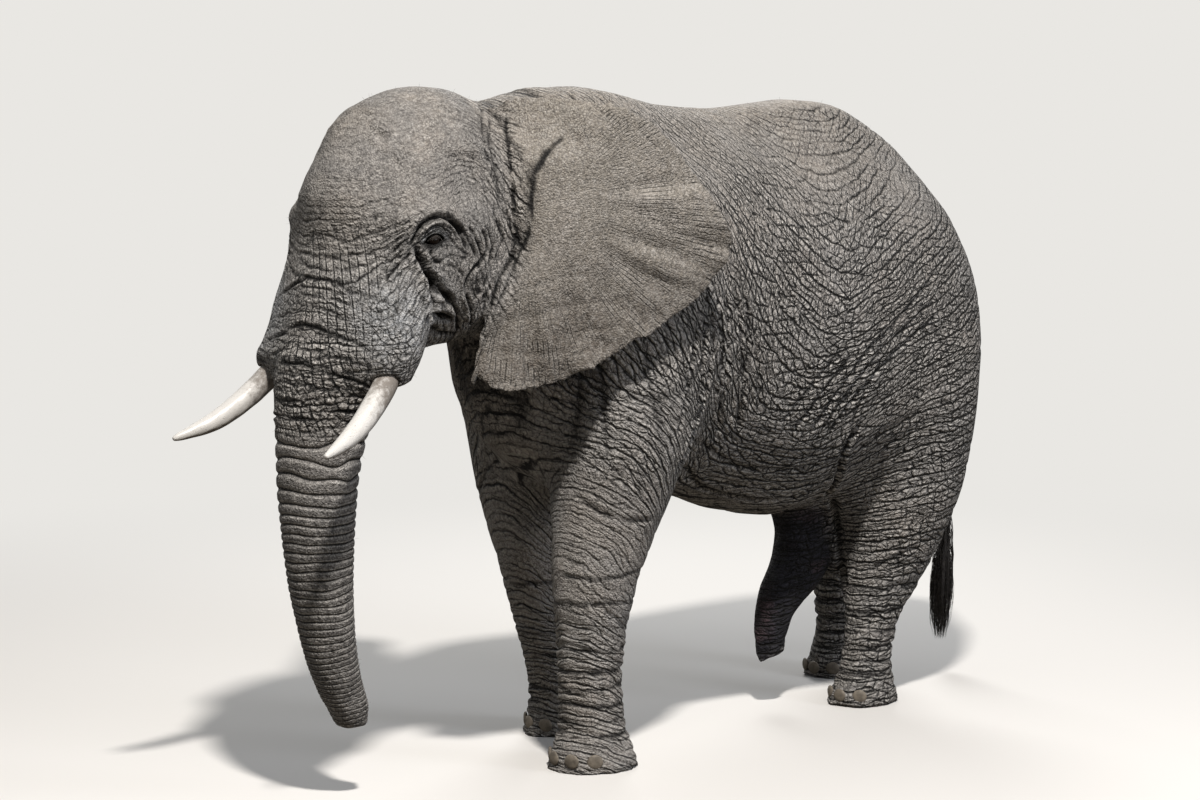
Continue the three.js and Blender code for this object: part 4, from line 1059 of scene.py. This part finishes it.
def hide_material(settings):
    """Dry elephant hide: thick skin creased into small plates, with pale dust on the plates, painted
    highlights on the rims of the creases and painted shade, partly dirt, in the creases. The eye reads how the
    long creases
    lie: level round trunk and legs, upright behind the shoulder, falling over the flank, rising over the
    haunch and fanned out over the ears."""
    made, add = material("dry_elephant_hide")
    spot = add("TexCoord").outputs["Object"]
    on = told(add, spot)
    height, cracks, rims, grain, lumps = hide_relief(add, spot, on)
    colour = hide_colour(add, spot, on, settings, cracks, rims, grain)
    rough = add("MapRange", lumps, 0.2, 0.8, 0.66, 0.96)
    bump = add("Bump", Height=height, Strength=1.0, Distance=1.5)
    shader = add("BsdfPrincipled", Base_Color=colour, Roughness=rough, Normal=bump, IOR=1.45,
                 Specular_IOR_Level=0.35)
    add("OutputMaterial", shader)
    return made


def simple(title, colour, second, roughness, patch, grain=None, specular=0.5):
    """Two mottled colours over fine bumps. Patch is the size of the mottling, and grain the size and height
    of the bumps, in metres."""
    made, add = material(title)
    spot = add("TexCoord").outputs["Object"]
    share = add("MapRange", add("TexNoise", spot, Scale=1 / patch, Detail=5.0), 0.38, 0.66)
    mixed = add("Mix RGBA", share, colour, second)
    bump = None
    if grain:
        tall = add("Math MULTIPLY", add("TexNoise", spot, Scale=1 / grain[0], Detail=4.0), grain[1])
        bump = add("Bump", Height=tall, Strength=1.0, Distance=1.0)
    add("OutputMaterial", add("BsdfPrincipled", Base_Color=mixed, Roughness=roughness, Normal=bump,
                              Specular_IOR_Level=specular))
    return made


def eye_material(settings):
    """A wet eyeball: brown iris with darker spokes, black pupil and a dark rim, under a clear cornea that
    catches one bright highlight."""
    made, add = material("wet_eyeball")
    gaze = add("Attribute", attribute_name="from_pupil").outputs["Fac"]
    spokes = add("Attribute", attribute_name="round_pupil").outputs["Vector"]
    iris = add("Mix RGBA", add("TexNoise", spokes, Scale=9.0, Detail=4.0), hexcode(settings.iris),
               "#150d08")
    pupil = add("MapRange SMOOTHSTEP", gaze, 0.30, 0.38)
    seen = add("Mix RGBA", pupil, "#050404", iris)
    edge = add("MapRange SMOOTHSTEP", gaze, 0.80, 1.0)
    whole = add("Mix RGBA", edge, seen, "#17100d")
    shader = add("BsdfPrincipled", Base_Color=whole, Roughness=0.30, IOR=1.38, Specular_IOR_Level=0.05,
                 Coat_Weight=0.30, Coat_Roughness=0.02)
    add("OutputMaterial", shader)
    return made


def ivory_material(settings):
    """Worn ivory: smooth and warm white, with fine cracks along the tusk, and grey-brown stains that thicken
    towards the lip; the tusk also turns darker grey-brown the more its surface faces down."""
    made, add = material("worn_ivory")
    spot = add("TexCoord").outputs["Object"]
    root = add("Attribute", attribute_name="to_root").outputs["Fac"]
    under = add("Attribute", attribute_name="underside").outputs["Fac"]
    drawn = add("Mapping", spot, Rotation=(math.radians(-40), 0, 0), Scale=(60, 6, 60))
    streak = add("TexNoise", drawn, Scale=1.0, Detail=6.0, Roughness=0.7)
    blotch = add("TexNoise", spot, Scale=34.0, Detail=7.0, Roughness=0.75)
    base = add("Mix RGBA", streak, hexcode(settings.ivory), "#cfccc6")
    soiled = add("Math ADD", blotch, add("Math MAXIMUM", root, under))
    share = add("MapRange SMOOTHSTEP", soiled, 0.80, 1.22)
    stained = add("Mix RGBA", add("Math MULTIPLY", share, 0.9), base, hexcode(settings.stain))
    fleck = add("TexNoise", drawn, Scale=2.6, Detail=5.0, Roughness=0.7)
    fleck = add("MapRange", fleck, 0.60, 0.70, 0.0, 0.75)
    stained = add("Mix RGBA", fleck, stained, "#3a342d")
    crack = add("MapRange", streak, 0.30, 0.36)
    bump = add("Bump", Height=add("Math MULTIPLY", crack, 0.0006), Strength=1.0, Distance=1.0)
    shader = add("BsdfPrincipled", Base_Color=stained, Normal=bump,
                 Roughness=add("MapRange", share, 0.0, 1.0, 0.36, 0.66), IOR=1.54)
    add("OutputMaterial", shader)
    return made


# ------------------------------------------------------------------------------------- hair
def hair_mesh(title, strands):
    """One mesh of thin tapered tubes. A strand is its points and its radius at the root."""
    verts, faces, owner = [], [], []
    for count, (line, radius) in enumerate(strands):
        line = np.asarray(line, float)
        along = np.gradient(line, axis=0)
        along /= np.linalg.norm(along, axis=1)[:, None] + 1e-12
        aside = np.cross(along, (0.31, 0.52, 0.79))
        aside /= np.linalg.norm(aside, axis=1)[:, None] + 1e-12
        other = np.cross(along, aside)
        start = len(verts)
        rings = len(line) - 1
        for k in range(rings):
            size = radius * (1 - 0.75 * k / rings)
            for j in range(HAIR_SIDES):
                turn = 2 * math.pi * j / HAIR_SIDES
                verts.append(line[k] + size * (math.cos(turn) * aside[k] + math.sin(turn) * other[k]))
        verts.append(line[-1])
        tip = len(verts) - 1
        for k in range(rings - 1):
            for j in range(HAIR_SIDES):
                ring = start + k * HAIR_SIDES
                a, b = ring + j, ring + (j + 1) % HAIR_SIDES
                faces.append((a, b, b + HAIR_SIDES, a + HAIR_SIDES))
        last = start + (rings - 1) * HAIR_SIDES
        for j in range(HAIR_SIDES):
            faces.append((last + j, last + (j + 1) % HAIR_SIDES, tip))
        faces.append(tuple(start + j for j in reversed(range(HAIR_SIDES))))
        owner += [count] * (len(faces) - len(owner))
    mesh = bpy.data.meshes.new(title)
    mesh.from_pydata([tuple(v) for v in verts], [], faces)
    piece = bpy.data.objects.new(title, mesh)
    bpy.context.collection.objects.link(piece)
    mesh.shade_smooth()
    return piece, owner


def bake_map(piece, owner, roots):
    """Gives each hair a patch of the map at its root's place on an unwrap of the skin's own shape."""
    skin = bpy.data.objects["skin"]
    proxy = bpy.data.objects.new("unwrapped", skin.data.copy())
    bpy.context.collection.objects.link(proxy)
    proxy.data.materials.clear()
    modify(proxy, "REMESH", mode="VOXEL", voxel_size=0.055, adaptivity=0)
    pick(proxy)
    bpy.ops.object.mode_set(mode="EDIT")
    bpy.ops.mesh.select_all(action="SELECT")
    bpy.ops.uv.smart_project(angle_limit=math.radians(66), island_margin=0.004)
    bpy.ops.object.mode_set(mode="OBJECT")
    uv = proxy.data.uv_layers.active.data
    tree = surface(proxy)
    spots = []
    for root in roots:
        face = proxy.data.polygons[tree.find_nearest(Vector(root))[2]]
        spots.append(np.mean([uv[loop].uv[:] for loop in face.loop_indices], axis=0))
    layer = piece.data.uv_layers.new(name="OFBake")
    for polygon, number in zip(piece.data.polygons, owner):
        count = len(polygon.loop_indices)
        for k, loop in enumerate(polygon.loop_indices):
            turn = 2 * math.pi * k / count
            layer.data[loop].uv = (spots[number][0] + PATCH / 2 * math.cos(turn),
                                   spots[number][1] + PATCH / 2 * math.sin(turn))
    bpy.data.meshes.remove(proxy.data)


def finish_piece(piece, finish, replaced=()):
    piece.data.materials.clear()
    piece.data.materials.append(finish)
    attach(piece, "root")
    if replaced:
        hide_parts(*replaced)
    deselect()


# ------------------------------------------------------------------------------- settings
def length(name, description, default, **more):
    return bpy.props.FloatProperty(name=name, description=description, default=default, unit="LENGTH",
                                   **more)


def tint(name, description, default):
    return bpy.props.FloatVectorProperty(name=name, description=description, default=shades(default),
                                         subtype="COLOR_GAMMA", size=3, min=0, max=1)


class SkinSettings(bpy.types.PropertyGroup):
    voxel: length("Voxel", "Size of the cells that join the flesh into one skin", 0.0115, min=0.008,
                  max=0.03)
    swell: length("Swell", "How far the smoothed skin moves back out to its true size", 0.003, min=0,
                  max=0.02)
    ear_thickness: length("Ear thickness", "Thickness of the ear's sheet", 0.012, min=0.006, max=0.05)
    eye_length: length("Eye length", "Length of the opening between the lids", 0.094, min=0.03, max=0.11)
    eye_height: length("Eye height", "Height of the opening between the lids", 0.046, min=0.01, max=0.06)
    triangles: bpy.props.IntProperty(name="Triangles", description="Most triangles that the skin may have",
                                     default=196000, min=20000, max=199000)
    grey: tint("Grey", "Hide where it is bare of soil", "#969390")
    brown: tint("Brown", "Hide with soil rubbed in", "#98918a")
    ear: tint("Ear", "Hide of the ears", "#89837a")
    dust: tint("Dust", "Dry dust on the raised plates", "#b8b4ae")
    # colour of the painted highlight on the rims of the creases
    rim_highlight: tint("Rubbed", "Rims of the creases, rubbed pale", "#dad7d0")
    # colour of the painted shade, partly dirt, in cracks and folds
    crack: tint("Crack", "Depth of the cracks and folds", "#131211")


class EyeSettings(bpy.types.PropertyGroup):
    cornea: length("Cornea", "How far the cornea stands proud of the ball", 0.002, min=0, max=0.006)
    iris_radius: length("Iris", "Radius of the iris", 0.0135, min=0.005, max=0.02)
    iris: tint("Iris colour", "Lighter colour of the iris", "#160e07")


class TuskSettings(bpy.types.PropertyGroup):
    ivory: tint("Ivory", "Clean worn ivory", "#e7e5e1")
    stain: tint("Stain", "Soil and tannin near the lip", "#6b6259")


class NailSettings(bpy.types.PropertyGroup):
    seat: length("Seat", "How much deeper the nails sit in the hide", 0.006, min=0, max=0.02)
    horn: tint("Horn", "Dry horn of the nails", "#857c6f")


class HairSettings(bpy.types.PropertyGroup):
    tail_hairs: bpy.props.IntProperty(name="Tail hairs", description="Hairs in the tail's tuft",
                                      default=900, min=50, max=2000)
    lashes: bpy.props.IntProperty(name="Lashes", description="Lashes on each upper lid", default=46, min=10,
                                  max=120)
    bristles: bpy.props.IntProperty(name="Bristles", default=500, min=0, max=4000,
                                    description="Sparse hairs on chin, trunk, crown, back and tail")
    thickness: length("Thickness", "Radius of a tail hair at its root", 0.0016, min=0.0003, max=0.004)
    hair: tint("Hair", "Wiry black hair", "#34302e")


class StageSettings(bpy.types.PropertyGroup):
    floor: tint("Floor", "Pale floor and backdrop", "#e9e7e3")
    key: bpy.props.FloatProperty(name="Key", description="Power of the main lamp", default=1950, min=0,
                                 unit="POWER")
    fill: bpy.props.FloatProperty(name="Fill", description="Strength of the light from all round",
                                  default=0.20, min=0, max=2)
    lens: bpy.props.FloatProperty(name="Lens", description="Focal length on a 36 mm wide sensor", default=96,
                                  min=20, max=200, unit="CAMERA")


class FigureSettings(bpy.types.PropertyGroup):
    skin: bpy.props.PointerProperty(type=SkinSettings)
    eyes: bpy.props.PointerProperty(type=EyeSettings)
    tusks: bpy.props.PointerProperty(type=TuskSettings)
    nails: bpy.props.PointerProperty(type=NailSettings)
    hair: bpy.props.PointerProperty(type=HairSettings)
    stage: bpy.props.PointerProperty(type=StageSettings)


# ------------------------------------------------------------------------------- operators
class ELEPHANT_OT_skin(bpy.types.Operator):
    """One skin over head, neck, body, trunk, legs, tail and ears"""
    bl_idname = "elephant.skin"
    bl_label = "Skin"

    def execute(self, context):
        settings = context.scene.elephant.skin
        piece = grow_skin(settings)
        sculpt(piece, settings)
        count = sum(len(p.vertices) - 2 for p in piece.data.polygons)
        modify(piece, "DECIMATE", ratio=settings.triangles / count)
        piece.data.shade_smooth()
        finish_piece(piece, hide_material(settings), FLESH)
        return {"FINISHED"}


class ELEPHANT_OT_eyes(bpy.types.Operator):
    """Two wet eyeballs with a raised cornea"""
    bl_idname = "elephant.eyes"
    bl_label = "Eyes"

    def execute(self, context):
        settings = context.scene.elephant.eyes
        finish = eye_material(settings)
        for side, name in zip(SIDES, EYES):
            deselect()
            bpy.ops.mesh.primitive_uv_sphere_add(segments=48, ring_count=32, radius=EYE_RADIUS)
            piece = bpy.context.object
            piece.name = piece.data.name = f"{name}_ball"
            where = points(piece)
            centre, gaze, ahead = eye_frame(side)
            off = np.arccos(np.clip(where @ gaze / EYE_RADIUS, -1, 1)) * EYE_RADIUS
            rise = settings.cornea * np.exp(-((off / settings.iris_radius) ** 2) * 1.4)
            where += where / EYE_RADIUS * rise[:, None]
            keep(piece, "from_pupil", np.clip(off / settings.iris_radius, 0, 2))
            turn = np.arctan2(where[:, 2], where @ ahead)
            keep(piece, "round_pupil", np.stack([np.cos(turn), np.sin(turn), off * 8], axis=1))
            place(piece, where + centre)
            piece.data.shade_smooth()
            finish_piece(piece, finish, (name,))
        return {"FINISHED"}


class ELEPHANT_OT_tusks(bpy.types.Operator):
    """Two worn ivory tusks"""
    bl_idname = "elephant.tusks"
    bl_label = "Tusks"

    def execute(self, context):
        finish = ivory_material(context.scene.elephant.tusks)
        for name in TUSKS:
            piece = copy_of((name,), f"{name}_ivory")
            modify(piece, "SUBSURF", levels=2, render_levels=2)
            where = points(piece)
            where += normals(piece) * (noise(where, 0.05, 31) * 0.0012)[:, None]
            place(piece, where)
            run = (where[:, 1] - where[:, 1].min()) / np.ptp(where[:, 1])
            keep(piece, "to_root", step(0.15, 0.85, run) * 0.9)
            keep(piece, "underside", step(0.1, -0.9, normals(piece)[:, 2]) * 0.75)
            piece.data.shade_smooth()
            finish_piece(piece, finish, (name,))
        return {"FINISHED"}


class ELEPHANT_OT_nails(bpy.types.Operator):
    """The toenails of the four feet"""
    bl_idname = "elephant.nails"
    bl_label = "Toenails"

    def execute(self, context):
        settings = context.scene.elephant.nails
        piece = copy_of(NAILS, "toenails")
        where = points(piece)
        for name in NAILS:
            low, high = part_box(name)
            which = ((where > np.array(low) - 1e-4) & (where < np.array(high) + 1e-4)).all(1)
            middle = where[which].mean(0)
            foot = np.array(FEET[next(leg for leg in LEGS if leg in name)])
            out = (middle - foot) * (1, 1, 0)
            out /= np.linalg.norm(out)
            proud = (where[which] - middle) @ out
            where[which] -= np.outer(0.45 * proud + settings.seat, out)
        place(piece, where)
        modify(piece, "SUBSURF", levels=2, render_levels=2)
        where = points(piece)
        where[:, 2] = np.maximum(where[:, 2], 0.002)
        place(piece, where)
        piece.data.shade_smooth()
        # nail horn, dry and rubbed: dull, a little streaked, paler than the hide
        finish = simple("dry_horn", hexcode(settings.horn), "#5f584e", 0.62, 0.033, (0.007, 0.0012))
        finish_piece(piece, finish, NAILS)
        return {"FINISHED"}


class ELEPHANT_OT_hair(bpy.types.Operator):
    """Tail tuft, lashes and sparse bristles"""
    bl_idname = "elephant.hair"
    bl_label = "Hair"

    def execute(self, context):
        settings = context.scene.elephant.hair
        # coarse keratin hair: near black with a faint shine along each strand
        finish = simple("wiry_hair", hexcode(settings.hair), "#5a5550", 0.55, 0.017, specular=0.4)
        skin = bpy.data.objects["skin"]
        for title, strands, replaced in (("tail_hair", tail_strands(settings), ("tail_tuft",)),
                                         ("eyelashes", lash_strands(settings), ()),
                                         ("bristles", bristle_strands(settings, skin), ())):
            piece, owner = hair_mesh(title, strands)
            bake_map(piece, owner, [line[0] for line, _ in strands])
            finish_piece(piece, finish, replaced)
        return {"FINISHED"}


def tail_strands(settings):
    """A flat bunch: hairs leave both edges of the last stretch of the tail and hang to its tip."""
    rng = np.random.default_rng(5)
    low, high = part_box("tail_tuft")
    shape, _ = shape_of(("tail_tuft",))
    strands = []
    for _ in range(settings.tail_hairs):
        top = high.z + rng.uniform(-0.26, 0.16)
        bottom = min(low.z + 0.02 + rng.uniform(0, 1) ** 1.6 * 0.34, top - 0.12)
        across = rng.uniform(-1, 1)
        deep = rng.uniform(-1, 1)
        line = []
        for t in np.linspace(0, 1, 9):
            z = top + (bottom - top) * t
            band = shape[np.abs(shape[:, 2] - np.clip(z, low.z + 0.03, high.z - 0.01)) < 0.09]
            mid, half = (band.max(0) + band.min(0)) / 2, (band.max(0) - band.min(0)) / 2
            spread = 0.55 + 0.55 * math.sin(math.pi * min(1, t * 0.8 + 0.1))
            line.append((mid[0] + deep * half[0] * spread + 0.006 * math.sin(7 * t + 9 * deep),
                         mid[1] + across * half[1] * spread + 0.010 * math.sin(5 * t + 7 * across), z))
        strands.append((line, settings.thickness * rng.uniform(0.7, 1.3)))
    return strands


def lash_strands(settings):
    """Short curved lashes along both upper lids, that hang out and down."""
    rng = np.random.default_rng(6)
    strands = []
    for side in SIDES:
        centre, out, ahead = eye_frame(side)
        up = np.array([0, 0, 1.0])
        for count in range(settings.lashes):
            a = (2 * (count + rng.uniform(0, 0.8)) / settings.lashes - 1) * 0.92
            across = a * 0.030
            high = 0.022 * (1 - a * a) ** 0.75 - 0.10 * across
            rise = math.sqrt(max(0, (EYE_RADIUS + 0.004) ** 2 - across**2 - high**2))
            root = centre + ahead * across + up * high + out * rise
            size = rng.uniform(0.020, 0.032) * (1 - 0.35 * abs(a))
            lean = ahead * (0.55 * a + rng.uniform(-0.15, 0.15))
            line = [root + size * (t * (out * 0.75 + lean) + up * (-0.55 * t - 0.25 * t * t))
                    for t in np.linspace(0, 1, 6)]
            strands.append((line, 0.0006))
    return strands


def bristle_strands(settings, skin):
    """Short stiff hairs that stand off the hide here and there."""
    rng = np.random.default_rng(7)
    where, out = points(skin), normals(skin)
    x, y, z = np.abs(where[:, 0]), where[:, 1], where[:, 2]
    chance = (0.9 * (y < -1.3) * (z < 2.02) * (z > 1.5) * (x < 0.3) * (y > -1.75)  # chin
              + 0.5 * (y < -1.3) * (z > 2.75) + 0.16 * (z > 2.6) * (x < 0.35)  # crown and back
              + 0.12 * (y < -1.75) * (z < 2.6) + 0.8 * (x < 0.10) * (y > 2.02) * (z < 1.9))  # trunk, tail
    chosen = rng.choice(len(where), settings.bristles, replace=False, p=chance / chance.sum())
    strands = []
    for index in chosen:
        root, way = where[index], out[index]
        size = rng.uniform(0.008, 0.026)
        drift = rng.normal(0, 0.35, 3) + (0, 0.25, -0.35)
        line = [root - way * 0.002 + size * (t * way + 0.5 * t * t * drift) for t in np.linspace(0, 1, 5)]
        strands.append((line, 0.0005))
    return strands


class ELEPHANT_OT_stage(bpy.types.Operator):
    """Pale floor, soft studio lamps and the camera"""
    bl_idname = "elephant.stage"
    bl_label = "Stage"

    def execute(self, context):
        settings = context.scene.elephant.stage
        scene = context.scene
        deselect()
        bpy.ops.mesh.primitive_circle_add(vertices=96, radius=70, fill_type="NGON")
        floor = bpy.context.object
        floor.name = "floor"
        floor.data.materials.append(floor_material(settings))
        world = scene.world or bpy.data.worlds.new("studio")
        scene.world = world
        world.use_nodes = True
        world.node_tree.nodes.clear()
        add = partial(node, world.node_tree)
        rays = add("LightPath").outputs
        seen = add("Math MAXIMUM", rays["Is Camera Ray"], rays["Is Glossy Ray"])
        seen = add("Math MAXIMUM", seen, rays["Is Transmission Ray"])
        light = add("Background", "#eef1f6", settings.fill)
        shown = add("Background", hexcode(settings.floor), 1.0)
        add("OutputWorld", add("MixShader", seen, light, shown))
        for name, at, size, power, colour in LAMPS:
            lamp = bpy.data.lights.new(name, "AREA")
            lamp.shape, lamp.size, lamp.color = "DISK", size, linear(colour)[:3]
            lamp.energy = settings.key * power
            holder = bpy.data.objects.new(name, lamp)
            context.collection.objects.link(holder)
            holder.location = at
            holder.rotation_euler = (LIT - Vector(at)).to_track_quat("-Z", "Y").to_euler()
        deselect()
        bpy.ops.object.camera_add(location=CAMERA_PLACE, rotation=CAMERA_TURN)
        camera = bpy.context.object
        camera.name = "camera"
        camera.data.lens, camera.data.sensor_width = settings.lens, 36
        camera.data.clip_end = 300
        scene.camera = camera
        scene.view_settings.view_transform = "Standard"
        return {"FINISHED"}


def floor_material(settings):
    """Matt pale floor that takes the shadow near the figure and fades into the backdrop far from it."""
    made, add = material("matt_floor")
    spot = add("TexCoord").outputs["Object"]
    far = add("VectorMath LENGTH", spot).outputs["Value"]
    share = add("MapRange SMOOTHSTEP", far, 3.2, 9.0)
    rays = add("LightPath").outputs
    # bounced light meets a darker floor, so that the figure's underside keeps its shade
    shown = add("Mix RGBA", rays["Is Camera Ray"], "#6f6960", hexcode(settings.floor))
    matt = add("BsdfDiffuse", shown)
    glow = add("Emission", hexcode(settings.floor), 1.0)
    seen = add("Math MULTIPLY", share, rays["Is Camera Ray"])
    add("OutputMaterial", add("MixShader", seen, matt, glow))
    return made


OPERATORS = (ELEPHANT_OT_skin, ELEPHANT_OT_eyes, ELEPHANT_OT_tusks, ELEPHANT_OT_nails, ELEPHANT_OT_hair,
             ELEPHANT_OT_stage)


class ELEPHANT_PT_figure(bpy.types.Panel):
    """Lists the settings and the steps that build the figure"""
    bl_idname = "ELEPHANT_PT_figure"
    bl_label = "Museum Elephant"
    bl_space_type = "VIEW_3D"
    bl_region_type = "UI"
    bl_category = "Elephant"

    def draw(self, context):
        for name in ("skin", "eyes", "tusks", "nails", "hair", "stage"):
            box = self.layout.box()
            group = getattr(context.scene.elephant, name)
            for key in group.__annotations__:
                box.prop(group, key)
            box.operator(f"elephant.{name}")


CLASSES = (SkinSettings, EyeSettings, TuskSettings, NailSettings, HairSettings, StageSettings,
           FigureSettings, *OPERATORS, ELEPHANT_PT_figure)


def register():
    for each in CLASSES:
        bpy.utils.register_class(each)
    bpy.types.Scene.elephant = bpy.props.PointerProperty(type=FigureSettings)


def unregister():
    del bpy.types.Scene.elephant
    for each in reversed(CLASSES):
        bpy.utils.unregister_class(each)


def main():
    register()
    bpy.ops.elephant.skin()
    bpy.ops.elephant.eyes()
    bpy.ops.elephant.tusks()
    bpy.ops.elephant.nails()
    bpy.ops.elephant.hair()
    bpy.ops.elephant.stage()


if __name__ == "__main__":
    main()
